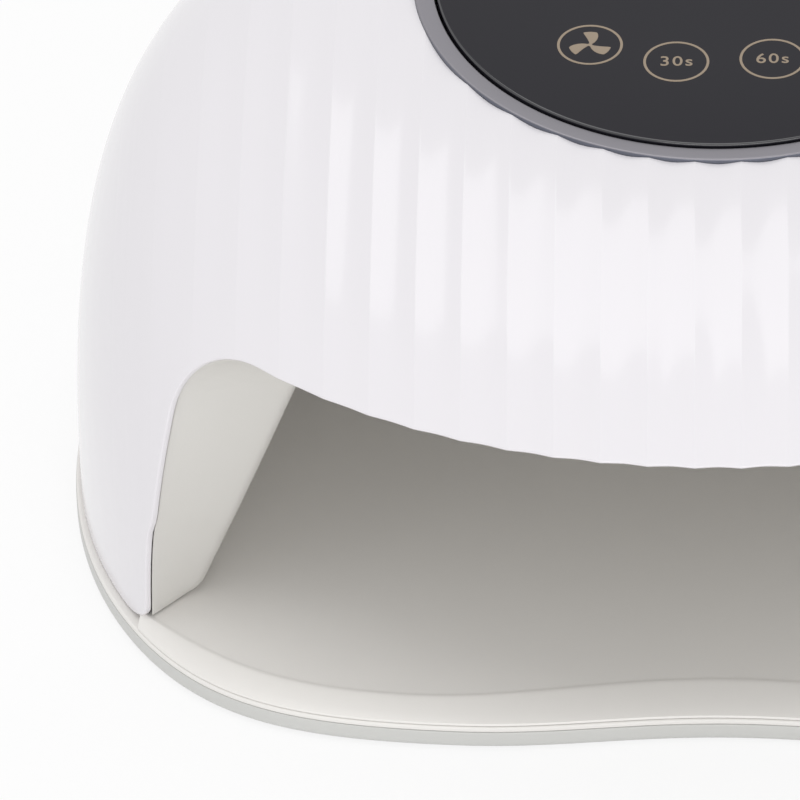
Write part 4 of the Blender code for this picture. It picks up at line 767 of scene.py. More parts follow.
level /= np.maximum(np.linalg.norm(level, axis=2, keepdims=True), 1e-9)
near_lip = np.clip(1 - np.arange(ARCH_ROWS + 1) / THINNED_ROWS, 0, 1)[None, :, None]
press_ways = outward + (level - outward) * ease(near_lip)
print("outer face has", outer.shape[0] * outer.shape[1], "points")

# %% [markdown]
# The edge runs all the way round: up one leg, along the arch, down the other leg and back round
# the foot. At each of its points a squared half circle joins the outer face to the inner one. It
# bulges square to both the edge and the wall. Along the foot it is flattened, so the shell sits
# snugly on the tray.

# %% The rim and the whole shell
RIM_STEPS = 12

count_x, count_y = outer.shape[:2]
loop = [(c, 0) for c in range(count_x)]
loop += [(count_x - 1, r) for r in range(1, count_y)]
loop += [(c, count_y - 1) for c in range(count_x - 2, -1, -1)]
loop += [(0, r) for r in range(count_y - 2, 0, -1)]
edge = np.array([outer[c, r] for c, r in loop])
edge_out = np.array([outward[c, r] for c, r in loop])
edge_press = np.array([press_ways[c, r] for c, r in loop])
tangent = np.roll(edge, -1, axis=0) - np.roll(edge, 1, axis=0)
tangent /= np.linalg.norm(tangent, axis=1, keepdims=True)
bulge = np.cross(tangent, edge_out)
bulge /= np.linalg.norm(bulge, axis=1, keepdims=True)
lift = ease(np.clip((edge[:, 2] - foot_row_z) / TOE_RADIUS, 0, 1))
round_size = FOOT_ROUND + (RIM_RADIUS - FOOT_ROUND) * lift
spine = edge - edge_out * RIM_RADIUS

grid_size = count_x * count_y
points = [*outer.reshape(-1, 3), *inner.reshape(-1, 3)]
directions = [*press_ways.reshape(-1, 3)] * 2
masks = [1.0] * grid_size + list((1 - from_edge).ravel())
rings = [[c * count_y + r for c, r in loop]]
for step in range(1, RIM_STEPS):
    turn = math.pi * step / RIM_STEPS
    along_wall = math.copysign(abs(math.cos(turn)) ** RIM_CORNER_POWER, math.cos(turn))
    ring = (spine + edge_out * (RIM_RADIUS * along_wall)
            + bulge * (round_size * math.sin(turn) ** RIM_CORNER_POWER)[:, None])
    rings.append(list(range(len(points), len(points) + len(loop))))
    points.extend(ring)
    directions.extend(edge_press)
    masks.extend([1.0] * len(loop))
rings.append([grid_size + c * count_y + r for c, r in loop])

faces = []
for c in range(count_x - 1):
    for r in range(count_y - 1):
        a = c * count_y + r
        b = a + count_y
        faces.append((a, b, b + 1, a + 1))
        faces.append((grid_size + a, grid_size + a + 1, grid_size + b + 1, grid_size + b))
for ring, following in zip(rings, rings[1:]):
    for index in range(len(loop)):
        after = (index + 1) % len(loop)
        faces.append((ring[index], following[index], following[after], ring[after]))
dome = make_piece("dome_shell", points, faces, SHELL_LOOK, turn_out=False)
dome.data.attributes.new("outward", "FLOAT_VECTOR", "POINT").data.foreach_set(
    "vector", np.array(directions, dtype=np.float32).ravel())
dome.data.attributes.new("flute_mask", "FLOAT", "POINT").data.foreach_set(
    "value", np.array(masks, dtype=np.float32))
print("smooth shell:", triangle_count(dome), "triangles")

# %% [markdown]
# The flutes follow a rule, so Geometry Nodes press them in: each point moves inwards by a
# parabola of its place between two ridges, with a share of a wave that softens the ridge. The
# hollows fade where the wall turns to face sideways, as a mould that opens upwards and forwards
# needs, and on the hidden face behind the rim. At the lip they are pressed in level with the
# table, so the roof's edge gets its small scallops.

# %% Flutes

flutes = bpy.data.node_groups.new("pressed_flutes", "GeometryNodeTree")
flutes.interface.new_socket("Geometry", in_out="INPUT", socket_type="NodeSocketGeometry")
for label in ("Pitch", "Depth", "Reach"):
    flutes.interface.new_socket(label, in_out="INPUT", socket_type="NodeSocketFloat")
flutes.interface.new_socket("Finish", in_out="INPUT", socket_type="NodeSocketMaterial")
flutes.interface.new_socket("Geometry", in_out="OUTPUT", socket_type="NodeSocketGeometry")
start = flutes.nodes.new("NodeGroupInput")
end = flutes.nodes.new("NodeGroupOutput")
position = flutes.nodes.new("GeometryNodeInputPosition")
split = flutes.nodes.new("ShaderNodeSeparateXYZ")
flutes.links.new(position.outputs[0], split.inputs[0])


def stored(tree, name, kind):
    node = tree.nodes.new("GeometryNodeInputNamedAttribute")
    node.data_type = kind
    node.inputs["Name"].default_value = name
    return node.outputs["Attribute"]


outward_field = stored(flutes, "outward", "FLOAT_VECTOR")
mask_field = stored(flutes, "flute_mask", "FLOAT")
split_out = flutes.nodes.new("ShaderNodeSeparateXYZ")
flutes.links.new(outward_field, split_out.inputs[0])
lane = math_node(flutes, "DIVIDE", split.outputs["X"], start.outputs["Pitch"])
lane_share = math_node(flutes, "SUBTRACT", lane, math_node(flutes, "ROUND", lane))
doubled = math_node(flutes, "MULTIPLY", lane_share, 2.0)
bowl = math_node(flutes, "SUBTRACT", 1.0, math_node(flutes, "MULTIPLY", doubled, doubled))
wave = math_node(flutes, "COSINE", math_node(flutes, "MULTIPLY", lane_share, 2 * math.pi))
wave = math_node(flutes, "ADD", math_node(flutes, "MULTIPLY", wave, 0.5), 0.5)
bowl = math_node(flutes, "ADD", math_node(flutes, "MULTIPLY", bowl, 1 - RIDGE_SOFTNESS),
                 math_node(flutes, "MULTIPLY", wave, RIDGE_SOFTNESS))
side = math_node(flutes, "MULTIPLY", split_out.outputs["X"], split_out.outputs["X"])
fade = math_node(flutes, "SUBTRACT", 1.0, side)
fade = math_node(flutes, "MULTIPLY", fade, fade)
within = math_node(flutes, "LESS_THAN", math_node(flutes, "ABSOLUTE", split.outputs["X"]),
                   start.outputs["Reach"])
depth = math_node(flutes, "MULTIPLY", start.outputs["Depth"], bowl)
for factor in (fade, within, mask_field):
    depth = math_node(flutes, "MULTIPLY", depth, factor)
scale = flutes.nodes.new("ShaderNodeVectorMath")
scale.operation = "SCALE"
flutes.links.new(outward_field, scale.inputs[0])
flutes.links.new(math_node(flutes, "MULTIPLY", depth, -1.0), scale.inputs["Scale"])
shift = flutes.nodes.new("GeometryNodeSetPosition")
flutes.links.new(start.outputs["Geometry"], shift.inputs["Geometry"])
flutes.links.new(scale.outputs[0], shift.inputs["Offset"])
realize = flutes.nodes.new("GeometryNodeRealizeInstances")
colour = flutes.nodes.new("GeometryNodeSetMaterial")
flutes.links.new(shift.outputs[0], realize.inputs[0])
flutes.links.new(realize.outputs[0], colour.inputs["Geometry"])
flutes.links.new(start.outputs["Finish"], colour.inputs["Material"])
flutes.links.new(colour.outputs[0], end.inputs[0])


def set_inputs(modifier, **values):
    """Set a Geometry Nodes modifier's inputs by the identifiers of their sockets."""
    for item in modifier.node_group.interface.items_tree:
        if item.item_type == "SOCKET" and item.in_out == "INPUT" and item.name in values:
            modifier[item.identifier] = values[item.name]


press = dome.modifiers.new("pressed_flutes", "NODES")
press.node_group = flutes
set_inputs(press, Pitch=FLUTE_PITCH, Depth=FLUTE_DEPTH, Reach=last_ridge, Finish=SHELL_LOOK)
bake(dome)
print("fluted shell:", triangle_count(dome), "triangles")

# %% [markdown]
# Three things are cut through the finished shell: the stepped seat of the bezel, the vent slots
# behind, one in each of the nine middle flutes, and the hole of the power inlet. They are closed
# solids that don't touch each other, so one Boolean cuts them all.

# %% Seat, vents and inlet hole
ring_frame = Matrix.Translation(RING_CENTRE) @ Matrix.Rotation(RING_TILT, 4, "X")
SEAT_GAP = 0.00005
SEAT_DEPTH = 0.0010
SEAT_CUT = 0.012
HOLE_RADIUS = 0.0516
VENT_COUNT = 9
VENT_WIDTH = 0.0024
VENT_HEIGHT = 0.018
VENT_Z = 0.058
VENT_CUT = (-0.012, 0.030)
INLET_Z = 0.0225
INLET_HOLE_RADIUS = 0.0049
INLET_CUT = 0.015

seat = turned([(0, -SEAT_CUT), (HOLE_RADIUS, -SEAT_CUT), (HOLE_RADIUS, -SEAT_DEPTH),
               (RING_RADIUS + SEAT_GAP, -SEAT_DEPTH), (RING_RADIUS + SEAT_GAP, SEAT_CUT),
               (0, SEAT_CUT)], 192)
upright = Matrix.Rotation(math.pi / 2, 4, "X")


def capsule(half_width, half_height, steps=10):
    """A slot's outline with round ends, in two numbers."""
    outline = []
    for side in (1, -1):
        for step in range(steps + 1):
            turn = math.pi * step / steps
            outline.append((side * half_width * math.cos(turn),
                            side * (half_height - half_width + half_width * math.sin(turn))))
    return outline


cutters = [moved(seat, ring_frame)]
for number in range(VENT_COUNT):
    x = (number - (VENT_COUNT - 1) / 2) * FLUTE_PITCH
    slot = prism(capsule(VENT_WIDTH / 2, VENT_HEIGHT / 2), *VENT_CUT)
    cutters.append(moved(slot, Matrix.Translation((x, REAR_REACH, VENT_Z)) @ upright))
hole = turned([(0, -INLET_CUT), (INLET_HOLE_RADIUS, -INLET_CUT), (INLET_HOLE_RADIUS, INLET_CUT),
               (0, INLET_CUT)], 48)
cutters.append(moved(hole, Matrix.Translation((0, REAR_REACH, INLET_Z)) @ upright))
cut(dome, "shell_openings", joined(cutters))
dome.data.shade_smooth()
dome.data.set_sharp_from_angle(angle=math.radians(38))
print("cut shell:", triangle_count(dome), "triangles")

# %% [markdown]
# The liner is the grey inner moulding that the hand goes into. It starts just inside the
# opening's rim as a broad slanted flange, rounds over into a narrowing tunnel and closes behind
# the fingers. It is lofted: rows of half arches from the lip to the back, mirrored, with the
# same number of points in each, and a second skin one wall further out.

# %% The liner's skins
LINER_Z = 0.0071
LINER_WALL = 0.0016
LINER_GAP = 0.00062
LINER_LEG_STEP = 0.00050
LINER_MOUTH_Y = -0.0533
LINER_MOUTH_HALF = 0.0910
LINER_TAPER = 0.10
LINER_DRAFT = math.radians(23.8)
LINER_CEILING_Z = 0.0580
LINER_CORNER = 0.014
LINER_BACK_Y = 0.0720
LINER_BACK_ROUND = 0.014
FLANGE_DEPTH = 0.011
LIP_SETBACK = 0.0028
LIP_ROUND = 0.0004
MOUTH_ROUND = 0.0022
FOOT_EDGE_ROUND = 0.0014
ROW_STEPS = (20, 14, 20)
LIP_STEPS = 4
FLANGE_STEPS = 8
MOUTH_STEPS = 6
TUNNEL_STEPS = 20
BACK_STEPS = 10
FLANGE_ROWS = LIP_STEPS + FLANGE_STEPS + MOUTH_STEPS + 2


def liner_half_width(y):
    return LINER_MOUTH_HALF - LINER_TAPER * (y - LINER_MOUTH_Y)


def liner_row(y, shrink, foot_round):
    """Half an arch of the tunnel at Y, from the floor up the slanted wall to the middle."""
    side_steps, corner_steps, top_steps = ROW_STEPS
    half = liner_half_width(y) - shrink
    top = LINER_CEILING_Z - shrink
    corner_z = top - LINER_CORNER
    corner_x = (half - math.tan(LINER_DRAFT) * (corner_z - LINER_Z)
                - LINER_CORNER / math.cos(LINER_DRAFT))
    start_z = corner_z + LINER_CORNER * math.sin(LINER_DRAFT)
    xs, zs = [], []
    for step in range(side_steps):
        share = (step / side_steps) ** 1.5
        z = LINER_Z + (start_z - LINER_Z) * share
        below = max(0.0, 1 - (z - LINER_Z) / FOOT_EDGE_ROUND)
        flare = foot_round * (1 - math.sqrt(1 - min(below, 0.999) ** 2))
        xs.append(half - math.tan(LINER_DRAFT) * (z - LINER_Z) + flare)
        zs.append(z + 0 * half)
    for step in range(corner_steps + 1):
        turn = LINER_DRAFT + (math.pi / 2 - LINER_DRAFT) * step / corner_steps
        xs.append(corner_x + LINER_CORNER * math.cos(turn))
        zs.append(corner_z + LINER_CORNER * math.sin(turn) + 0 * half)
    for step in range(1, top_steps + 1):
        xs.append(corner_x * (1 - step / top_steps))
        zs.append(top + 0 * half)
    x = np.array([float(value[i]) for i, value in enumerate(xs)])
    z = np.array([float(value[i]) for i, value in enumerate(zs)])
    return np.stack([x, y, z], axis=1)


def liner_rows(foot_round):
    """Rows from the lip over the flange and the rounded mouth to the back of the tunnel."""
    lip = opening_half(LINER_GAP, LINER_Z, ROW_STEPS, LINER_LEG_STEP)
    rim_y = dome_wall(lip[:, 0], lip[:, 1], -1)
    lip_line = np.stack([lip[:, 0], rim_y + LIP_SETBACK, lip[:, 1]], axis=1)
    mouth_y = rim_y + FLANGE_DEPTH
    mouth = liner_row(mouth_y, 0, foot_round)
    inward = mouth - lip_line
    inward /= np.linalg.norm(inward, axis=1, keepdims=True)
    backward = liner_row(mouth_y + 0.001, 0, foot_round) - mouth
    backward /= np.linalg.norm(backward, axis=1, keepdims=True)
    behind = np.array([0, LIP_ROUND, 0])
    rows = []
    for step in range(LIP_STEPS + 1):
        share = step / LIP_STEPS
        rows.append(lip_line + behind * (1 - share) ** 2 + inward * LIP_ROUND * share ** 2)
    flange_end = mouth - inward * MOUTH_ROUND
    for step in range(1, FLANGE_STEPS + 1):
        rows.append(rows[LIP_STEPS]
                    + (flange_end - rows[LIP_STEPS]) * step / (FLANGE_STEPS + 1))
    tunnel_start = mouth + backward * MOUTH_ROUND
    for step in range(MOUTH_STEPS + 1):
        share = step / MOUTH_STEPS
        rows.append(flange_end * (1 - share) ** 2 + mouth * 2 * share * (1 - share)
                    + tunnel_start * share ** 2)
    straight_end = LINER_BACK_Y - LINER_BACK_ROUND
    for step in range(1, TUNNEL_STEPS + 1):
        y = tunnel_start[:, 1] + (straight_end - tunnel_start[:, 1]) * step / TUNNEL_STEPS
        rows.append(liner_row(y, 0, foot_round))
    for step in range(1, BACK_STEPS + 1):
        turn = math.pi / 2 * step / BACK_STEPS
        shrink = LINER_BACK_ROUND * (1 - math.cos(turn))
        y = np.full(len(rim_y), straight_end + LINER_BACK_ROUND * math.sin(turn))
        rows.append(liner_row(y, shrink, foot_round))
    half = np.stack(rows)
    return np.concatenate([half, half[:, ::-1][:, 1:] * np.array([-1, 1, 1])], axis=1)


def liner_skins():
    """The face that shows and the one that is hidden, a wall apart, straight behind the flange."""
    shown, plain = liner_rows(FOOT_EDGE_ROUND), liner_rows(0.0)
    away = np.cross(np.gradient(plain, axis=0), np.gradient(plain, axis=1))
    away[:, 0, 2] = away[:, -1, 2] = 0
    away /= np.linalg.norm(away, axis=2, keepdims=True)
    centre = np.array([0, LINER_MOUTH_Y, LINER_Z])
    away *= np.sign(np.sum(away * (plain - centre), axis=2, keepdims=True))
    away[-1] = (0, 1, 0)
    hidden = plain + away * LINER_WALL
    lip_back = plain[0] + np.array([0, LINER_WALL, 0])
    for row in range(FLANGE_ROWS):
        hidden[row] = lip_back + (hidden[FLANGE_ROWS] - lip_back) * row / FLANGE_ROWS
    return shown, hidden


def wall_between(shown, hidden):
    rows, count = shown.shape[:2]
    size = rows * count
    points = [*shown.reshape(-1, 3), *hidden.reshape(-1, 3)]
    faces = []
    for row in range(rows - 1):
        for index in range(count - 1):
            corner = row * count + index
            quad = (corner, corner + 1, corner + count + 1, corner + count)
            faces.append(quad)
            faces.append(tuple(size + place for place in reversed(quad)))
        for index in (0, count - 1):
            corner = row * count + index
            faces.append((corner, corner + count, size + corner + count, size + corner))
    for index in range(count - 1):
        faces.append((index, index + 1, size + index + 1, size + index))
    last = (rows - 1) * count
    faces.append(tuple(range(last, last + count)))
    faces.append(tuple(size + place for place in range(last, last + count)))
    faces.append((last, last + count - 1, size + last + count - 1, size + last))
    return points, faces


liner = make_piece("hand_liner", *wall_between(*liner_skins()), LINER_LOOK)
print("liner:", triangle_count(liner), "triangles")

# %% [markdown]
# Light beads look into the tunnel through round holes: four rows in the ceiling, a row low on
# each side for the thumbs, and one at the back. Each hole is a short rod in the frame of its
# wall, with its Z pointing out of the hollow, and the same frames place the beads later.

# %% Bead frames and holes
TOP_BEADS_X = [0.018 * (step - 2.5) for step in range(6)]
TOP_BEADS_Y = [0.020 - 0.026 * step for step in range(4)]
SIDE_BEADS_Y = [-0.041 + 0.026 * step for step in range(4)]
REAR_BEADS_X = [0.024 * (step - 1.5) for step in range(4)]
SIDE_BEAD_Z = 0.0260
REAR_BEAD_Z = 0.0185
BEAD_HOLE_RADIUS = 0.0022
BEAD_HOLE_REACH = 0.004


def ceiling_frame(x, y):
    return Matrix.Translation((x, y, LINER_CEILING_Z))


def rear_frame(x, z):
    return Matrix.Translation((x, LINER_BACK_Y, z)) @ Matrix.Rotation(-math.pi / 2, 4, "X")


def side_frame(y, z, side):
    """A frame on a side wall, with its X along the wall and its Z out of the hollow."""
    x = liner_half_width(y) - math.tan(LINER_DRAFT) * (z - LINER_Z)
    along = Vector((-LINER_TAPER * side, 1, 0)).normalized()
    outward_side = Vector((side, LINER_TAPER, math.tan(LINER_DRAFT))).normalized()
    frame_up = outward_side.cross(along)
    frame = Matrix((along, frame_up, outward_side)).transposed().to_4x4()
    frame.translation = (side * x, y, z)
    return frame


bead_frames = {
    "top": [ceiling_frame(x, y) for x in TOP_BEADS_X for y in TOP_BEADS_Y],
    "right": [side_frame(y, SIDE_BEAD_Z, 1) for y in SIDE_BEADS_Y],
    "left": [side_frame(y, SIDE_BEAD_Z, -1) for y in SIDE_BEADS_Y],
    "rear": [rear_frame(x, REAR_BEAD_Z) for x in REAR_BEADS_X],
}
sensor_frames = [ceiling_frame(middle(node).x, middle(node).y)
                 for node in ("sensor_emitter", "sensor_receiver")]
rod = turned([(0, -BEAD_HOLE_REACH), (BEAD_HOLE_RADIUS, -BEAD_HOLE_REACH),
              (BEAD_HOLE_RADIUS, BEAD_HOLE_REACH), (0, BEAD_HOLE_REACH)], 28)
holes = [moved(rod, frame) for group in bead_frames.values() for frame in group]
holes += [moved(rod, frame) for frame in sensor_frames]
cut(liner, "bead_holes", joined(holes))
liner.data.shade_smooth()
liner.data.set_sharp_from_angle(angle=math.radians(40))
print(len(holes), "holes, liner:", triangle_count(liner), "triangles")

# %% [markdown]
# The tray is three plates: a pan with a rounded belly, a thin lid with a fine seam above it, and
# the raised floor. The floor slopes away all round as an apron, up to a soft crease, and inside
# the crease it is sunk by a hair, which gives the thin line of light that real ones show. Each
# outline is a blend of limits: a curve like the dome's foot, a front line with a shallow dip,
# and where needed a side limit or a slanted corner. It is kept as a reach for each direction
# from the middle, so loops between two outlines are simple mixtures.

# %% Tray outlines
TRAY_POWER = 2.235
TRAY_MARGIN = 0.0009
TRAY_FRONT_LINE = 0.0959
TRAY_DIP_DEPTH = 0.0036
TRAY_DIP_HALF_WIDTH = 0.045
TRAY_BLEND = 12
TRAY_POINTS = 480
FLOOR_MARGIN = 0.0003
FLOOR_POWER = 2.30
FLOOR_FRONT_LINE = 0.0954
FLOOR_SIDE_LIMIT = 0.0984
FLOOR_SHOULDER_Y = -0.0545
SHOULDER_RUN = 0.003
CLEAR_OF_LEGS = 0.2
FLOOR_REAR_INSET = 0.010
CREASE_FRONT_LINE = 0.08895
CREASE_DIP_DEPTH = 0.0061
CREASE_DIP_HALF_WIDTH = 0.055
CREASE_CORNER = (0.02145, 1.343)
tray_turns = np.linspace(0, 2 * math.pi, TRAY_POINTS, endpoint=False)
tray_cos, tray_sin = np.cos(tray_turns), np.sin(tray_turns)


def foot_curve(x, y, margin, rear_inset, power):
    """Below 1 inside a curve like the dome's foot, let out by a margin."""
    reach = np.where(y < SECTION_SHIFT, FRONT_REACH, REAR_REACH - rear_inset) + margin
    return (np.abs(x / (HALF_WIDTH + margin)) ** power
            + np.abs((y - SECTION_SHIFT) / reach) ** power) ** (1 / power)


def tray_reach(margin, front_line, dip, dip_half_width=TRAY_DIP_HALF_WIDTH, rear_inset=0.0,
               side_limit=None, corner=None, power=TRAY_POWER):
    """How far a tray outline is from the middle in each direction."""
    near, far = np.zeros(TRAY_POINTS), np.full(TRAY_POINTS, 2 * HALF_WIDTH)
    for _ in range(WALL_HALVINGS):
        half = (near + far) / 2
        x, y = half * tray_cos, half * tray_sin
        close = np.minimum(np.abs(x) / dip_half_width, 1)
        line = front_line - dip * (1 + np.cos(math.pi * close)) / 2
        limits = [np.maximum(-y, 0) / line]
        if power is not None:
            limits.append(foot_curve(x, y, margin, rear_inset, power))
        if side_limit is not None:
            before_legs = np.clip((FLOOR_SHOULDER_Y - y) / SHOULDER_RUN, 0, 1)
            limits.append(np.abs(x) / (side_limit + CLEAR_OF_LEGS * before_legs))
        if corner is not None:
            limits.append(foot_curve(x, y, corner[0], 0, corner[1]) * (y < 0))
        total = sum(limit ** TRAY_BLEND for limit in limits) ** (1 / TRAY_BLEND)
        near, far = np.where(total < 1, half, near), np.where(total < 1, far, half)
    return near


def loop_at(reach, z):
    return [(float(a), float(b), z) for a, b in zip(reach * tray_cos, reach * tray_sin)]


def edge_profile(low, high, low_round, high_round, steps=5):
    """Pairs of inset and height up an edge that is rounded below and above."""
    pairs = []
    for step in range(steps + 1):
        turn = math.pi / 2 * step / steps
        pairs.append((low_round * (1 - math.sin(turn)), low + low_round * (1 - math.cos(turn))))
    for step in range(steps + 1):
        turn = math.pi / 2 * step / steps
        pairs.append((high_round * (1 - math.cos(turn)), high - high_round * (1 - math.sin(turn))))
    return pairs


tray_outline = tray_reach(TRAY_MARGIN, TRAY_FRONT_LINE, TRAY_DIP_DEPTH)


def tray_plate(name, low, high, inset, low_round, high_round, look):
    loops = [loop_at(tray_outline - inset - extra, z)
             for extra, z in edge_profile(low, high, low_round, high_round)]
    return make_piece(name, *lofted(loops), look)


pan = tray_plate("tray_pan", 0.0005, 0.0037, 0.0, 0.0011, 0.0003, PAN_LOOK)
# The rim takes the tray's pale grey with painted light in it.
lid = tray_plate("tray_rim", 0.0038, 0.0047, 0.00015, 0.0001, 0.00045, TRAY_PAINTED_LIGHT_LOOK)
print("pan and rim:", triangle_count(pan) + triangle_count(lid), "triangles")

# %% The tray's floor with its apron and crease
FLOOR_LOW_Z = 0.00485
FLOOR_Z = 0.0068
FLOOR_SINK = 0.00010
FLOOR_STEP_IN = 0.0004
CREASE_STEP_IN = 0.0008
APRON = ((0.0, 0.0), (0.006, 0.10), (0.02, 0.18), (0.10, 0.30), (0.30, 0.52), (0.62, 0.78),
         (0.86, 0.945), (0.93, 0.985), (0.97, 1.0), (1.0, 1.0))
DROP_TO_FLOOR = ((0.0002, 0.0), (0.0004, 0.3), (0.0007, 0.8), (0.0010, 1.0), (0.0016, 1.0))

floor_outline = tray_reach(FLOOR_MARGIN, FLOOR_FRONT_LINE, TRAY_DIP_DEPTH,
                           rear_inset=FLOOR_REAR_INSET, side_limit=FLOOR_SIDE_LIMIT,
                           power=FLOOR_POWER)
floor_outline = np.minimum(floor_outline, tray_outline - FLOOR_STEP_IN)
crease = tray_reach(0.0, CREASE_FRONT_LINE, CREASE_DIP_DEPTH, CREASE_DIP_HALF_WIDTH,
                    corner=CREASE_CORNER, power=None)
crease = np.minimum(crease, floor_outline - CREASE_STEP_IN)
loops = [loop_at(floor_outline + (crease - floor_outline) * share,
                 FLOOR_LOW_Z + (FLOOR_Z - FLOOR_LOW_Z) * rise) for share, rise in APRON]
for extra, drop in DROP_TO_FLOOR:
    loops.append(loop_at(crease - extra, FLOOR_Z - FLOOR_SINK * drop))
# The floor takes the tray's pale grey with painted light in it, which brightens it in the shade of
# the hollow.
floor = make_piece("tray_floor", *lofted(loops), TRAY_PAINTED_LIGHT_LOOK)

# %% [markdown]
# The lamp's legs stand beside the floor plate, so each corner of the plate ends in front of a
# leg's toe, and behind it the plate has a pocket that gives the leg a little room to spare.

# %% Pockets for the legs
POCKET_CORNER = (FLOOR_SIDE_LIMIT, -0.0575)
POCKET_TOE = (0.1014, -0.0629)
POCKET_SHOULDER = (0.1014, -0.0605)
POCKET_FRONT = (0.1026, -0.0700)
POCKET_END_X = 0.1120
POCKET_REAR_Y = -0.0450
POCKET_LOW_Z = 0.0040
POCKET_HIGH_Z = 0.0090


def leg_pocket(side):
    """The outline of the space round a leg's toe, seen from above."""
    outline = [(FLOOR_SIDE_LIMIT, POCKET_REAR_Y), POCKET_CORNER, POCKET_SHOULDER, POCKET_TOE,
               POCKET_FRONT, (POCKET_END_X, POCKET_FRONT[1]), (POCKET_END_X, POCKET_REAR_Y)]
    return [(side * x, y) for x, y in outline]


pockets = [prism(leg_pocket(side), POCKET_LOW_Z, POCKET_HIGH_Z) for side in (-1, 1)]
cut(floor, "leg_pockets", joined(pockets))
print("floor:", triangle_count(floor), "triangles")

# %% [markdown]
# The top of the lamp is a stack of turned pieces in one tilted frame: a satin metal bezel that
# sits in the seat, and inside it a dark panel that stands a hair higher, with a rounded edge.
# Turned profiles with rounded corners give both. The gap between them is real, so it reads as
# the thin black line that the eye expects there.

# %% More finishes
BEZEL_LOOK = finish("satin_grey_metal", (0.248, 0.240, 0.262), 0.34, metallic=0.85,
                    grain=(3000.0, 0.5), cloud=(30.0, 0.05), rub=0.15)
# The bezel's outer side takes a darker, bluer copy of its metal: painted shade with a painted
# bluish reflection.
BEZEL_SHADED_SIDE_LOOK = finish("bezel_side_painted_shade", (0.160, 0.170, 0.205), 0.30, metallic=0.85,
                         grain=(3000.0, 0.5), cloud=(30.0, 0.05), rub=0.15)
PANEL_LOOK = finish("dark_glossy_panel", (0.0138, 0.0132, 0.0180), 0.16, grain=(1500.0, 0.01),
                    cloud=(20.0, 0.05), rough_swing=0.02, specular_ior_level=0.20)
PANEL_EDGE_LOOK = finish("polished_panel_edge", (0.012, 0.012, 0.016), 0.10,
                         grain=(1500.0, 0.01), cloud=(20.0, 0.05), rough_swing=0.02,
                         specular_ior_level=0.85)
LEGEND_LOOK = finish("pale_gold_print", (0.30, 0.235, 0.17), 0.45, grain=(4000.0, 0.4),
                     cloud=(200.0, 0.08), metallic=0.15)
RUBBER_LOOK = finish("dark_soft_rubber", (0.055, 0.055, 0.055), 0.80, grain=(1200.0, 1.0),
                     cloud=(60.0, 0.12), dust=0.3, bump=0.00005)
STEEL_LOOK = finish("zinc_plated_steel", (0.62, 0.62, 0.63), 0.32, metallic=1.0,
                    grain=(2500.0, 0.6), cloud=(120.0, 0.08), rub=0.2)
BLACK_LOOK = finish("black_moulded_plastic", (0.028, 0.028, 0.030), 0.42, grain=(2200.0, 0.8),
                    cloud=(40.0, 0.10), dust=0.08, rub=0.2)
print("bezel, panel and small parts have finishes")

# %% Bezel and panel
BEZEL_HIGH = 0.0005
BEZEL_LOW = 0.0003
BEZEL_TOP_WIDTH = 0.0034
BEZEL_EDGE = 0.0003
BEZEL_SEAT_Z = -0.0007
BEZEL_SKIRT_WALL = 0.0011
BEZEL_SKIRT_DEPTH = 0.0070
PANEL_GAP = 0.0004
PANEL_TOP = 0.0008
PANEL_THICKNESS = 0.0020
PANEL_EDGE = 0.0005
RING_SIDES = 256
SIDE_FACING = 0.45
EDGE_FACING = (0.05, 0.97)

inner_radius = RING_RADIUS - BEZEL_TOP_WIDTH
skirt_radius = inner_radius + BEZEL_SKIRT_WALL
profile = round_corner((inner_radius, BEZEL_LOW), (0, -1), (1, 0.05), BEZEL_EDGE)
profile += round_corner((RING_RADIUS, BEZEL_HIGH), (-1, -0.05), (0, -1), BEZEL_EDGE)
profile += [(RING_RADIUS, BEZEL_SEAT_Z), (skirt_radius, BEZEL_SEAT_Z),
            (skirt_radius, -BEZEL_SKIRT_DEPTH), (inner_radius, -BEZEL_SKIRT_DEPTH)]
bezel = make_piece("bezel", *moved(turned(profile, RING_SIDES), ring_frame),
                   [BEZEL_LOOK, BEZEL_SHADED_SIDE_LOOK])
into_ring = ring_frame.inverted()
# Faces on the outer edge that face sideways get the darker, bluer copy: painted shade and a painted
# bluish reflection on the bezel's side.
for face in bezel.data.polygons:
    spot, facing = into_ring @ face.center, into_ring.to_3x3() @ face.normal
    if facing.z < SIDE_FACING and Vector((spot.x, spot.y)).length > RING_RADIUS - BEZEL_EDGE:
        face.material_index = 1

panel_radius = inner_radius - PANEL_GAP
profile = [(0, PANEL_TOP), (panel_radius * 0.5, PANEL_TOP)]
profile += round_corner((panel_radius, PANEL_TOP), (-1, 0), (0, -1), PANEL_EDGE, 6)
profile += [(panel_radius, PANEL_TOP - PANEL_THICKNESS), (0, PANEL_TOP - PANEL_THICKNESS)]
panel = make_piece("panel", *moved(turned(profile, RING_SIDES), ring_frame),
                   [PANEL_LOOK, PANEL_EDGE_LOOK])
for face in panel.data.polygons:
    facing = into_ring.to_3x3() @ face.normal
    if EDGE_FACING[0] < facing.z < EDGE_FACING[1]:
        face.material_index = 1
print("bezel:", triangle_count(bezel), "panel:", triangle_count(panel), "triangles")

# %% [markdown]
# The touch fields are printed rings with plain legends: a fan for the mode and three times in
# seconds. Print is a film of ink, so each legend is a thin solid lying on the panel. The rings
# are turned, the fan is one outline drawn by a rule for its three blades, and the numbers are
# text turned to a mesh.

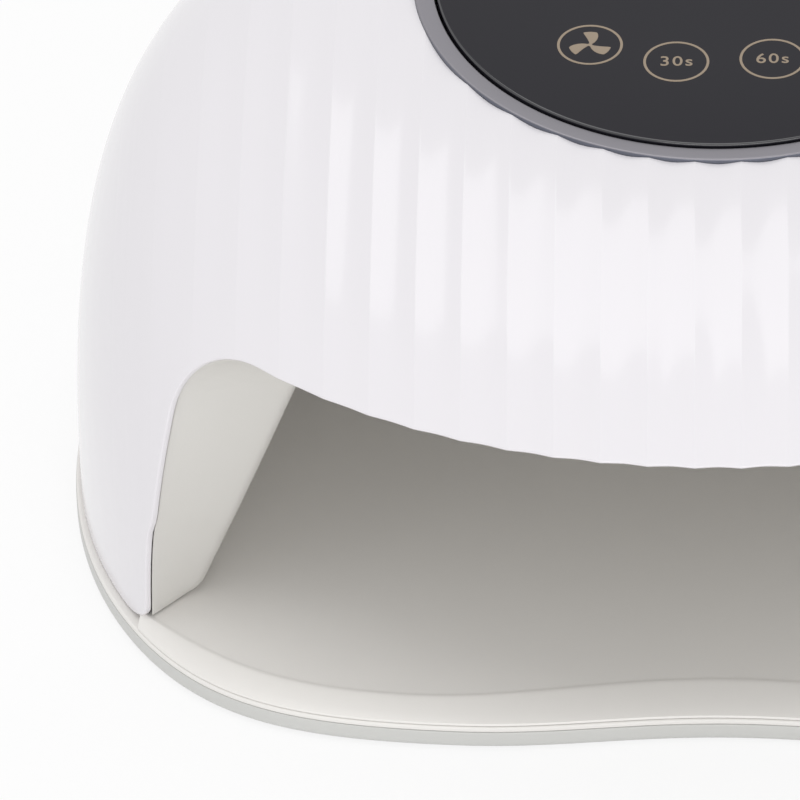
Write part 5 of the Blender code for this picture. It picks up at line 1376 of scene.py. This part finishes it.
# %% Printed legends
FIELD_OUTER = 0.00572
FIELD_STROKE = 0.00046
INNER_FIELDS = (0.02747, math.radians(17.65))
OUTER_FIELDS = (0.03100, math.radians(48.2))
FIELD_TWIST = math.radians(2.46)
PRINT_LOW = PANEL_TOP - 0.00002
PRINT_HIGH = PANEL_TOP + 0.00003
TEXT_SIZE = 0.0038
TEXT_SPACING = 1.16
TEXT_BOLD = 0.00003
FAN_REACH = 0.0037
FAN_HUB = 0.0004
FAN_SWEEP = 0.42
fields = []
for radius, spread in (INNER_FIELDS, OUTER_FIELDS):
    for side in (-1, 1):
        turn = side * spread + FIELD_TWIST
        fields.append((radius * math.sin(turn), -radius * math.cos(turn)))


def smooth(value, low, high):
    """0 below low, 1 above high and an even curve between them."""
    return ease(min(max((value - low) / (high - low), 0.0), 1.0))


def fan_outline(steps=240):
    """Three blades round a small hub, narrow at the root and broad at the tip, as one outline."""
    outline = []
    for step in range(steps):
        turn = 2 * math.pi * step / steps
        radius = FAN_HUB + (FAN_REACH - FAN_HUB) * smooth(math.cos(3 * turn), -0.30, 0.62)
        swept = turn + FAN_SWEEP * (radius / FAN_REACH - 1) + math.pi / 2
        outline.append((radius * math.cos(swept), radius * math.sin(swept)))
    return outline


def text_shape(words):
    """Generic figures as one closed thin mesh, centred on the origin."""
    curve = bpy.data.curves.new("figures", "FONT")
    curve.body = words
    curve.size = TEXT_SIZE
    curve.space_character = TEXT_SPACING
    curve.align_x, curve.align_y = "CENTER", "CENTER"
    curve.offset = TEXT_BOLD
    curve.resolution_u = 6
    curve.extrude = (PRINT_HIGH - PRINT_LOW) / 2
    holder = bpy.data.objects.new("figures", curve)
    scene.collection.objects.link(holder)
    bpy.context.view_layer.update()
    mesh = bpy.data.meshes.new_from_object(holder.evaluated_get(
        bpy.context.evaluated_depsgraph_get()))
    bpy.data.objects.remove(holder, do_unlink=True)
    centre_z = (PRINT_HIGH + PRINT_LOW) / 2
    points = [(point.co.x, point.co.y, point.co.z + centre_z) for point in mesh.vertices]
    return points, [tuple(face.vertices) for face in mesh.polygons]


ring_shape = turned([(FIELD_OUTER - FIELD_STROKE, PRINT_LOW), (FIELD_OUTER, PRINT_LOW),
                     (FIELD_OUTER, PRINT_HIGH), (FIELD_OUTER - FIELD_STROKE, PRINT_HIGH)], 96)
legend_shapes = []
for (x, y), words in zip(fields, ("30s", "60s", None, "99s")):
    inside = text_shape(words) if words else prism(fan_outline(), PRINT_LOW, PRINT_HIGH)
    for shape in (ring_shape, inside):
        legend_shapes.append(moved(moved(shape, Matrix.Translation((x, y, 0))), ring_frame))
legends = make_piece("printed_legends", *joined(legend_shapes), LEGEND_LOOK)
print("legends:", triangle_count(legends), "triangles")

# %% [markdown]
# Feet, light beads and screws repeat, so Geometry Nodes place them: one point for each, with the
# direction it faces as an attribute. They share a small tree that turns a cylinder into a stud
# with a rounded top, by pulling each ring of points inwards as it nears the top. The feet and
# beads differ only in their sizes.

# %% A stud with a rounded top
stud = bpy.data.node_groups.new("rounded_stud", "GeometryNodeTree")
for label in ("Radius", "Height", "Edge Round"):
    stud.interface.new_socket(label, in_out="INPUT", socket_type="NodeSocketFloat")
for label in ("Sides", "Rows"):
    stud.interface.new_socket(label, in_out="INPUT", socket_type="NodeSocketInt")
stud.interface.new_socket("Geometry", in_out="OUTPUT", socket_type="NodeSocketGeometry")
start, end = stud.nodes.new("NodeGroupInput"), stud.nodes.new("NodeGroupOutput")
blank = stud.nodes.new("GeometryNodeMeshCylinder")
for label, source in (("Vertices", "Sides"), ("Side Segments", "Rows"), ("Radius", "Radius")):
    stud.links.new(start.outputs[source], blank.inputs[label])
blank.inputs["Fill Segments"].default_value = 2
blank.inputs["Depth"].default_value = 2.0
place = stud.nodes.new("ShaderNodeSeparateXYZ")
stud.links.new(stud.nodes.new("GeometryNodeInputPosition").outputs[0], place.inputs[0])
share = math_node(stud, "MULTIPLY", math_node(stud, "ADD", place.outputs["Z"], 1.0), 0.5)
eased = math_node(stud, "SINE", math_node(stud, "MULTIPLY", share, math.pi / 2))
height = math_node(stud, "MULTIPLY", eased, start.outputs["Height"])
below = math_node(stud, "SUBTRACT", start.outputs["Height"], start.outputs["Edge Round"])
above = math_node(stud, "MAXIMUM", math_node(stud, "SUBTRACT", height, below), 0.0)
step_up = math_node(stud, "DIVIDE", above, start.outputs["Edge Round"])
step_up = math_node(stud, "MINIMUM", step_up, 1.0)
across = math_node(stud, "SQRT", math_node(stud, "SUBTRACT", 1.0,
                                           math_node(stud, "MULTIPLY", step_up, step_up)))
round_share = math_node(stud, "DIVIDE", start.outputs["Edge Round"], start.outputs["Radius"])
drawn_in = math_node(stud, "MULTIPLY", math_node(stud, "SUBTRACT", 1.0, across), round_share)
width = math_node(stud, "SUBTRACT", 1.0, drawn_in)
rebuilt = stud.nodes.new("ShaderNodeCombineXYZ")
stud.links.new(math_node(stud, "MULTIPLY", place.outputs["X"], width), rebuilt.inputs["X"])
stud.links.new(math_node(stud, "MULTIPLY", place.outputs["Y"], width), rebuilt.inputs["Y"])
stud.links.new(height, rebuilt.inputs["Z"])
shaped = stud.nodes.new("GeometryNodeSetPosition")
stud.links.new(blank.outputs["Mesh"], shaped.inputs["Geometry"])
stud.links.new(rebuilt.outputs[0], shaped.inputs["Position"])
stud.links.new(shaped.outputs[0], end.inputs[0])
print("stud tree:", len(stud.nodes), "nodes")

# %% Trees that place studs and screws


def placing_tree(name, sizes, counts):
    """A new tree with named inputs for its sizes, counts and finish, and its group input and output
    nodes.
    """
    tree = bpy.data.node_groups.new(name, "GeometryNodeTree")
    tree.interface.new_socket("Geometry", in_out="INPUT", socket_type="NodeSocketGeometry")
    for label in sizes:
        tree.interface.new_socket(label, in_out="INPUT", socket_type="NodeSocketFloat")
    for label in counts:
        tree.interface.new_socket(label, in_out="INPUT", socket_type="NodeSocketInt")
    tree.interface.new_socket("Finish", in_out="INPUT", socket_type="NodeSocketMaterial")
    tree.interface.new_socket("Geometry", in_out="OUTPUT", socket_type="NodeSocketGeometry")
    return tree, tree.nodes.new("NodeGroupInput"), tree.nodes.new("NodeGroupOutput")


def add_stud(tree, start, sizes, sides):
    """The stud's tree, with each size from a named input or a number."""
    node = tree.nodes.new("GeometryNodeGroup")
    node.node_tree = stud
    for label, value in (*sizes.items(), *sides.items()):
        if isinstance(value, str):
            tree.links.new(start.outputs[value], node.inputs[label])
        else:
            node.inputs[label].default_value = value
    return node.outputs[0]


def stand_on_points(tree, start, end, shape, spin=None):
    """Place a shape on each point, along its facing direction, and give it its finish."""
    lean = tree.nodes.new("FunctionNodeAlignRotationToVector")
    lean.axis = "Z"
    tree.links.new(stored(tree, "facing", "FLOAT_VECTOR"), lean.inputs["Vector"])
    copies = tree.nodes.new("GeometryNodeInstanceOnPoints")
    tree.links.new(start.outputs["Geometry"], copies.inputs["Points"])
    tree.links.new(shape, copies.inputs["Instance"])
    tree.links.new(lean.outputs[0], copies.inputs["Rotation"])
    result = copies.outputs[0]
    if spin is not None:
        twist = tree.nodes.new("GeometryNodeRotateInstances")
        tree.links.new(result, twist.inputs[0])
        turn = tree.nodes.new("ShaderNodeCombineXYZ")
        tree.links.new(spin, turn.inputs["Z"])
        tree.links.new(turn.outputs[0], twist.inputs["Rotation"])
        result = twist.outputs[0]
    real = tree.nodes.new("GeometryNodeRealizeInstances")
    colour = tree.nodes.new("GeometryNodeSetMaterial")
    tree.links.new(result, real.inputs[0])
    tree.links.new(real.outputs[0], colour.inputs["Geometry"])
    tree.links.new(start.outputs["Finish"], colour.inputs["Material"])
    tree.links.new(colour.outputs[0], end.inputs[0])


stud_tree, start, end = placing_tree("studs_on_points", ("Radius", "Height", "Edge Round"),
                                     ("Sides", "Rows"))
shape = add_stud(stud_tree, start, {"Radius": "Radius", "Height": "Height",
                                    "Edge Round": "Edge Round"}, {"Sides": "Sides", "Rows": "Rows"})
stand_on_points(stud_tree, start, end, shape)

screw_tree, start, end = placing_tree(
    "cross_head_screws", ("Head Radius", "Head Height", "Shank Radius", "Shank Length",
                          "Cross Size", "Cross Depth"), ("Seed",))
head = add_stud(screw_tree, start, {"Radius": "Head Radius", "Height": "Head Height",
                                    "Edge Round": 0.0005}, {"Sides": 40, "Rows": 8})
shank = add_stud(screw_tree, start, {"Radius": "Shank Radius", "Height": "Shank Length",
                                     "Edge Round": 0.0004}, {"Sides": 24, "Rows": 4})
recess = screw_tree.nodes.new("GeometryNodeMeshBoolean")
recess.operation = "DIFFERENCE"
recess.solver = "EXACT"
screw_tree.links.new(head, recess.inputs["Mesh 1"])
narrow = math_node(screw_tree, "MULTIPLY", start.outputs["Cross Size"], 0.26)
deep = math_node(screw_tree, "MULTIPLY", start.outputs["Cross Depth"], 2.0)
for along, aside in (("X", "Y"), ("Y", "X")):
    bar_size = screw_tree.nodes.new("ShaderNodeCombineXYZ")
    screw_tree.links.new(start.outputs["Cross Size"], bar_size.inputs[along])
    screw_tree.links.new(narrow, bar_size.inputs[aside])
    screw_tree.links.new(deep, bar_size.inputs["Z"])
    bar = screw_tree.nodes.new("GeometryNodeMeshCube")
    screw_tree.links.new(bar_size.outputs[0], bar.inputs["Size"])
    raised = screw_tree.nodes.new("GeometryNodeTransform")
    lift = screw_tree.nodes.new("ShaderNodeCombineXYZ")
    screw_tree.links.new(start.outputs["Head Height"], lift.inputs["Z"])
    screw_tree.links.new(bar.outputs["Mesh"], raised.inputs["Geometry"])
    screw_tree.links.new(lift.outputs[0], raised.inputs["Translation"])
    screw_tree.links.new(raised.outputs[0], recess.inputs["Mesh 2"])
turned_down = screw_tree.nodes.new("GeometryNodeTransform")
turned_down.inputs["Rotation"].default_value = (math.pi, 0, 0)
screw_tree.links.new(shank, turned_down.inputs["Geometry"])
whole = screw_tree.nodes.new("GeometryNodeJoinGeometry")
screw_tree.links.new(turned_down.outputs[0], whole.inputs[0])
screw_tree.links.new(recess.outputs["Mesh"], whole.inputs[0])
chance = screw_tree.nodes.new("FunctionNodeRandomValue")
chance.data_type = "FLOAT"
chance.inputs[3].default_value = math.pi
screw_tree.links.new(start.outputs["Seed"], chance.inputs["Seed"])
stand_on_points(screw_tree, start, end, whole.outputs[0], chance.outputs[1])
print("trees:", stud_tree.name, screw_tree.name)

# %% [markdown]
# Each set starts as a mesh of bare points. The modifier turns it into real geometry, and the
# result is kept as a plain mesh. The tray rests on four rubber feet and is held together by four
# screws in counterbores, and the lamp's cover by four more.

# %% Feet, screws and light beads


def point_set(name, places, tree, look, **sizes):
    """A piece from points and facing directions, made by a placing tree."""
    mesh = bpy.data.meshes.new(name)
    mesh.from_pydata([tuple(place) for place, _ in places], [], [])
    mesh.attributes.new("facing", "FLOAT_VECTOR", "POINT").data.foreach_set(
        "vector", [part for _, facing in places for part in facing])
    piece = bpy.data.objects.new(name, mesh)
    scene.collection.objects.link(piece)
    step = piece.modifiers.new(name, "NODES")
    step.node_group = tree
    named = {label.replace("_", " "): value for label, value in sizes.items()}
    set_inputs(step, Finish=look, **named)
    bake(piece, 30.0)
    print(name, len(places), "placed,", triangle_count(piece), "triangles")
    return piece


DOWN = (0.0, 0.0, -1.0)
FOOT_PLACES = ((0.080, -0.056), (-0.080, -0.056), (0.080, 0.060), (-0.080, 0.060))
TRAY_SCREW_PLACES = ((0.060, -0.060), (-0.060, -0.060), (0.060, 0.050), (-0.060, 0.050))
FOOT_RADIUS = 0.0065
FOOT_HEIGHT = 0.0012
TRAY_SCREW_SEAT_Z = 0.0018
COVER_SCREW_SEAT_Z = 0.0081
SCREW_HEAD_RADIUS = 0.0022
SCREW_HEAD_HEIGHT = 0.0010
SCREW_RADIUS = 0.0012
screw_sizes = {"Head_Radius": SCREW_HEAD_RADIUS, "Head_Height": SCREW_HEAD_HEIGHT,
               "Shank_Radius": SCREW_RADIUS, "Cross_Size": 0.0026, "Cross_Depth": 0.0006}
feet = point_set("tray_feet", [((x, y, FOOT_HEIGHT), DOWN) for x, y in FOOT_PLACES], stud_tree,
                 RUBBER_LOOK, Radius=FOOT_RADIUS, Height=FOOT_HEIGHT, Edge_Round=0.0004,
                 Sides=64, Rows=10)
tray_screws = point_set("tray_screws", [((x, y, TRAY_SCREW_SEAT_Z), DOWN)
                                        for x, y in TRAY_SCREW_PLACES], screw_tree, STEEL_LOOK,
                        Shank_Length=0.0041, Seed=3, **screw_sizes)
cover_screw_places = [middle("cover_screw_" + str(number)) for number in range(1, 5)]
cover_screws = point_set("cover_screws", [((place.x, place.y, COVER_SCREW_SEAT_Z), DOWN)
                                          for place in cover_screw_places], screw_tree, STEEL_LOOK,
                         Shank_Length=0.0098, Seed=8, **screw_sizes)

# %% Recesses for the feet and screws
LOOSE = 0.0003
BELOW_TRAY = -0.002
BORE_TOP_Z = 0.0062
recesses = [prism([((FOOT_RADIUS + LOOSE) * math.cos(math.radians(5 * step)) + x,
                    (FOOT_RADIUS + LOOSE) * math.sin(math.radians(5 * step)) + y)
                   for step in range(72)], BELOW_TRAY, FOOT_HEIGHT + LOOSE)
            for x, y in FOOT_PLACES]
counterbore = turned([(0, BELOW_TRAY), (SCREW_HEAD_RADIUS + LOOSE, BELOW_TRAY),
                      (SCREW_HEAD_RADIUS + LOOSE, TRAY_SCREW_SEAT_Z + LOOSE),
                      (SCREW_RADIUS + LOOSE, TRAY_SCREW_SEAT_Z + LOOSE),
                      (SCREW_RADIUS + LOOSE, BORE_TOP_Z), (0, BORE_TOP_Z)], 36)
bores = [moved(counterbore, Matrix.Translation((x, y, 0))) for x, y in TRAY_SCREW_PLACES]
cut(pan, "pan_recesses", joined(recesses + bores))
cut(lid, "lid_bores", joined(bores))
cut(floor, "floor_bores", joined(bores))
for plate in (pan, lid, floor):
    plate.data.shade_smooth()
    plate.data.set_sharp_from_angle(angle=math.radians(32))
print("pan:", triangle_count(pan), "floor:", triangle_count(floor), "triangles")

# %% [markdown]
# The nails are cured by light beads: a small yellow chip under a clear milky lens, soldered on a
# white board behind the liner. The lens tops lie just inside the holes. Chips and lenses are two
# sets of studs on the same points, and the boards are plain plates with cut corners.

# %% Light boards, chips and lenses
BEAD_RADIUS = 0.00175
BEAD_HEIGHT = 0.0018
BOARD_BACK = 0.0019
BOARD_THICKNESS = 0.0016
BOARD_EDGE = 0.006
BOARD_SLANT = 0.0015
BOARD_LOOK = finish("white_solder_mask", (0.78, 0.78, 0.76), 0.35, grain=(1800.0, 0.5),
                    cloud=(60.0, 0.05))
CHIP_LOOK = finish("yellow_phosphor", (0.80, 0.62, 0.10), 0.55, grain=(5000.0, 0.8),
                   cloud=(600.0, 0.10))
LENS_LOOK = finish("milky_lens", (0.90, 0.88, 0.93), 0.12, grain=(3000.0, 0.1),
                   cloud=(300.0, 0.03), transmission_weight=0.75, ior=1.42)


def bead_point(bead_frame):
    """A point on a bead's board and the direction into the hollow."""
    return bead_frame @ Vector((0, 0, BOARD_BACK)), bead_frame.to_3x3() @ Vector((0, 0, -1))


def board_shape(half_x, half_y, board_frame):
    """A plate with cut corners behind the liner, in the frame of its wall."""
    slant = BOARD_SLANT
    outline = [(half_x, half_y - slant), (half_x - slant, half_y), (slant - half_x, half_y),
               (-half_x, half_y - slant), (-half_x, slant - half_y), (slant - half_x, -half_y),
               (half_x - slant, -half_y), (half_x, slant - half_y)]
    return moved(prism(outline, BOARD_BACK, BOARD_BACK + BOARD_THICKNESS), board_frame)


side_middle = (SIDE_BEADS_Y[0] + SIDE_BEADS_Y[-1]) / 2
side_half = (SIDE_BEADS_Y[-1] - SIDE_BEADS_Y[0]) / 2 + BOARD_EDGE
top_middle = (TOP_BEADS_Y[0] + TOP_BEADS_Y[-1]) / 2
boards = make_piece("light_boards", *joined([
    board_shape(TOP_BEADS_X[-1] + BOARD_EDGE, (TOP_BEADS_Y[0] - TOP_BEADS_Y[-1]) / 2 + BOARD_EDGE,
                ceiling_frame(0, top_middle)),
    board_shape(side_half, BOARD_EDGE, side_frame(side_middle, SIDE_BEAD_Z, 1)),
    board_shape(side_half, BOARD_EDGE, side_frame(side_middle, SIDE_BEAD_Z, -1)),
    board_shape(REAR_BEADS_X[-1] + BOARD_EDGE, BOARD_EDGE, rear_frame(0, REAR_BEAD_Z))]),
                    BOARD_LOOK)
bead_points = [bead_point(bead_frame) for group in bead_frames.values() for bead_frame in group]
chips = point_set("bead_chips", bead_points, stud_tree, CHIP_LOOK, Radius=0.0009, Height=0.0005,
                  Edge_Round=0.0001, Sides=12, Rows=3)
lenses = point_set("bead_lenses", bead_points, stud_tree, LENS_LOOK, Radius=BEAD_RADIUS,
                   Height=BEAD_HEIGHT, Edge_Round=0.0013, Sides=20, Rows=8)

# %% [markdown]
# Behind, low in the middle, sits the power inlet: a black barrel with a bright centre pin. It is
# a turned profile again, with a round lip and a collar behind the wall.

# %% Power inlet
INLET_FACE_Y = float(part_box("power_inlet")[1][1])
INLET_RADIUS = 0.0045
INLET_BORE = 0.00275
INLET_DEPTH = 0.008
INLET_LENGTH = 0.012
INLET_PIN = 0.0010
PIN_ROOT = 0.0002
COLLAR_DEPTH = 0.00215
COLLAR_HEIGHT = 0.0015
COLLAR_RADIUS = 0.0065
inlet_frame = Matrix.Translation((0, INLET_FACE_Y, INLET_Z)) @ upright
profile = [(0, INLET_DEPTH), (INLET_BORE, INLET_DEPTH)]
profile += round_corner((INLET_BORE, 0), (0, 1), (1, 0), 0.0004)
profile += round_corner((INLET_RADIUS, 0), (-1, 0), (0, 1), 0.0005)
profile += [(INLET_RADIUS, COLLAR_DEPTH), (COLLAR_RADIUS, COLLAR_DEPTH),
            (COLLAR_RADIUS, COLLAR_DEPTH + COLLAR_HEIGHT),
            (INLET_RADIUS, COLLAR_DEPTH + COLLAR_HEIGHT), (INLET_RADIUS, INLET_LENGTH),
            (0, INLET_LENGTH)]
inlet = make_piece("inlet_barrel", *moved(turned(profile, 64), inlet_frame), BLACK_LOOK)
profile = [(0, INLET_PIN)] + round_corner((INLET_PIN, INLET_PIN), (-1, 0), (0, 1), 0.0007, 6)
profile += [(INLET_PIN, INLET_DEPTH + PIN_ROOT), (0, INLET_DEPTH + PIN_ROOT)]
inlet_pin = make_piece("inlet_pin", *moved(turned(profile, 32), inlet_frame), STEEL_LOOK)
print("inlet:", triangle_count(inlet) + triangle_count(inlet_pin), "triangles")

# %% [markdown]
# What the closed lamp hides keeps the CAD model's shapes and gets its own finishes. Circuit
# boards have copper tracks under green lacquer: the joints of a brick pattern, whose staggered
# rows look like short tracks. Cut metal shows fine drawn lines, which is noise squeezed along
# one direction. Both are groups, because several finishes use them.

# %% Groups for tracks and drawn metal
track_group, start, end = new_group(
    "copper_tracks", [("Scale", 120.0), ("Line Width", 0.06)], [("Mask", "NodeSocketFloat")])
place = track_group.nodes.new("ShaderNodeTexCoord").outputs["Object"]
bricks = track_group.nodes.new("ShaderNodeTexBrick")
bricks.inputs["Bias"].default_value = 0.0
track_group.links.new(place, bricks.inputs["Vector"])
track_group.links.new(start.outputs["Scale"], bricks.inputs["Scale"])
track_group.links.new(start.outputs["Line Width"], bricks.inputs["Mortar Size"])
track_group.links.new(bricks.outputs["Fac"], end.inputs["Mask"])

drawn_group, start, end = new_group(
    "drawn_lines", [("Scale", 900.0), ("Depth", 0.3)], [("Height", "NodeSocketFloat")])
place = drawn_group.nodes.new("ShaderNodeTexCoord").outputs["Object"]
squeeze = drawn_group.nodes.new("ShaderNodeMapping")
squeeze.inputs["Scale"].default_value = (1.0, 0.03, 1.0)
drawn_group.links.new(place, squeeze.inputs["Vector"])
lines = noise(drawn_group, squeeze.outputs[0], start.outputs["Scale"], 2.0)
drawn_group.links.new(math_node(drawn_group, "MULTIPLY", lines, start.outputs["Depth"]),
                      end.inputs["Height"])


def lay_tracks(material, colour, scale, line_width):
    """Mix a track colour into a finish's base colour."""
    tree = material.node_tree
    shader = tree.nodes["Principled BSDF"]
    under = shader.inputs["Base Color"].links[0].from_socket
    mask = place_group(tree, track_group, Scale=scale, Line_Width=line_width)
    tracked = mix_colour(tree, mask.outputs["Mask"], under, colour)
    tree.links.new(tracked, shader.inputs["Base Color"])


def draw_lines(material, scale, depth):
    """Add drawn lines to the height that a finish's Bump node reads."""
    tree = material.node_tree
    relief = next(node for node in tree.nodes if node.type == "BUMP")
    under = relief.inputs["Height"].links[0].from_socket
    lines = place_group(tree, drawn_group, Scale=scale, Depth=depth)
    tree.links.new(math_node(tree, "ADD", under, lines.outputs["Height"]), relief.inputs["Height"])


print("groups:", track_group.name, drawn_group.name)

# %% Finishes inside the lamp
GREEN_LOOK = finish("green_solder_mask", (0.030, 0.19, 0.085), 0.35, grain=(1800.0, 0.5),
                    cloud=(50.0, 0.10))
lay_tracks(GREEN_LOOK, (0.09, 0.34, 0.13), 160.0, 0.05)
lay_tracks(BOARD_LOOK, (0.70, 0.66, 0.55), 90.0, 0.03)
SINK_LOOK = finish("extruded_aluminium", (0.58, 0.58, 0.60), 0.38, metallic=1.0,
                   grain=(2000.0, 0.3), cloud=(40.0, 0.06))
draw_lines(SINK_LOOK, 1400.0, 1.2)
draw_lines(STEEL_LOOK, 2400.0, 0.4)
BRASS_LOOK = finish("turned_brass", (0.68, 0.50, 0.22), 0.30, metallic=1.0,
                    grain=(3000.0, 0.5), cloud=(200.0, 0.08), rub=0.2)
COIL_LOOK = finish("potted_coil", (0.06, 0.055, 0.05), 0.50, grain=(1500.0, 1.2),
                   cloud=(120.0, 0.2), bump=0.00008)
CAPACITOR_LOOK = finish("blue_sleeve", (0.035, 0.06, 0.16), 0.30, grain=(900.0, 0.3),
                        cloud=(150.0, 0.12))
DISPLAY_LOOK = finish("digit_window", (0.05, 0.045, 0.045), 0.25, grain=(2600.0, 0.3),
                      cloud=(90.0, 0.15))
SENSOR_LOOK = finish("sensor_window", (0.030, 0.020, 0.035), 0.10, grain=(3000.0, 0.1),
                     cloud=(400.0, 0.15), coat_weight=0.6)
LOCK_LOOK = finish("white_clip_ring", (0.70, 0.70, 0.69), 0.50, grain=(2000.0, 0.8),
                   cloud=(30.0, 0.05))
LEAD_BLACK_LOOK = finish("black_wire", (0.020, 0.020, 0.020), 0.50, grain=(1600.0, 0.6),
                         cloud=(200.0, 0.15))
LEAD_RED_LOOK = finish("red_wire", (0.50, 0.030, 0.022), 0.45, grain=(1600.0, 0.6),
                       cloud=(200.0, 0.12))
LEAD_CREAM_LOOK = finish("cream_wire", (0.72, 0.65, 0.54), 0.50, grain=(1600.0, 0.6),
                         cloud=(200.0, 0.10))
node_looks = {
    "bottom_cover": COVER_LOOK, "bezel_lock_ring": LOCK_LOOK, "panel_carrier": BLACK_LOOK,
    "digit_display": DISPLAY_LOOK, "sensor_emitter": SENSOR_LOOK, "sensor_receiver": SENSOR_LOOK,
    "fan_frame": BLACK_LOOK, "fan_rotor": BLACK_LOOK, "fan_shaft": STEEL_LOOK,
    "heat_sink": SINK_LOOK, "driver_coil": COIL_LOOK, "driver_capacitor": CAPACITOR_LOOK,
    "supply_lead": LEAD_BLACK_LOOK, "fan_lead": LEAD_BLACK_LOOK, "control_lead": LEAD_RED_LOOK,
    "light_lead": LEAD_CREAM_LOOK,
}
for board_name in ("control_board", "driver_board", "sensor_board"):
    node_looks[board_name] = GREEN_LOOK
for stem, count, look in (("board_screw_", 3, STEEL_LOOK), ("fan_screw_", 2, STEEL_LOOK),
                          ("lamp_magnet_", 2, STEEL_LOOK), ("tray_magnet_", 2, STEEL_LOOK),
                          ("touch_pad_", 4, RUBBER_LOOK), ("driver_standoff_", 2, BRASS_LOOK)):
    for number in range(1, count + 1):
        node_looks[stem + str(number)] = look
for node_name, look in node_looks.items():
    node = frame["nodes"][node_name]
    if not node.material_slots:
        node.data.materials.append(look)
    for material_slot in node.material_slots:
        material_slot.material = look
print(len(node_looks), "CAD nodes have finishes")

# %% [markdown]
# Every piece rides on a body of the model, so it moves with the lamp or stays with the tray. The
# CAD nodes that it stands for are hidden, and the table names a material slot for each piece.

# %% Bodies, slots and replaced nodes


def numbered(stem, count):
    return [stem + str(number) for number in range(1, count + 1)]


light_nodes = ["light_board_top", "light_board_left", "light_board_right", "light_board_rear"]
for piece, body, slot_name, replaced in (
        (dome, "lamp", "shell_white", ["outer_shell"]),
        (liner, "lamp", "liner_grey", ["inner_liner"]),
        (bezel, "lamp", "bezel_metal", ["bezel_ring"]),
        (panel, "lamp", "panel_dark", ["touch_panel"]),
        (legends, "lamp", "panel_dark", []),
        (boards, "lamp", "board_white", light_nodes),
        (chips, "lamp", "board_white", []),
        (lenses, "lamp", "board_white", []),
        (cover_screws, "lamp", "steel", numbered("cover_screw_", 4)),
        (inlet, "lamp", "dark_plastic", ["power_inlet"]),
        (inlet_pin, "lamp", "steel", []),
        (pan, "tray", "tray_grey", ["base_pan"]),
        (lid, "tray", "tray_grey", ["tray_lid"]),
        (floor, "tray", "tray_grey", ["floor_plate"]),
        (feet, "tray", "rubber_black", numbered("tray_foot_", 4)),
        (tray_screws, "tray", "steel", numbered("tray_screw_", 4))):
    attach(piece, body)
    if replaced:
        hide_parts(*replaced)
    print(piece.name, "on", body)
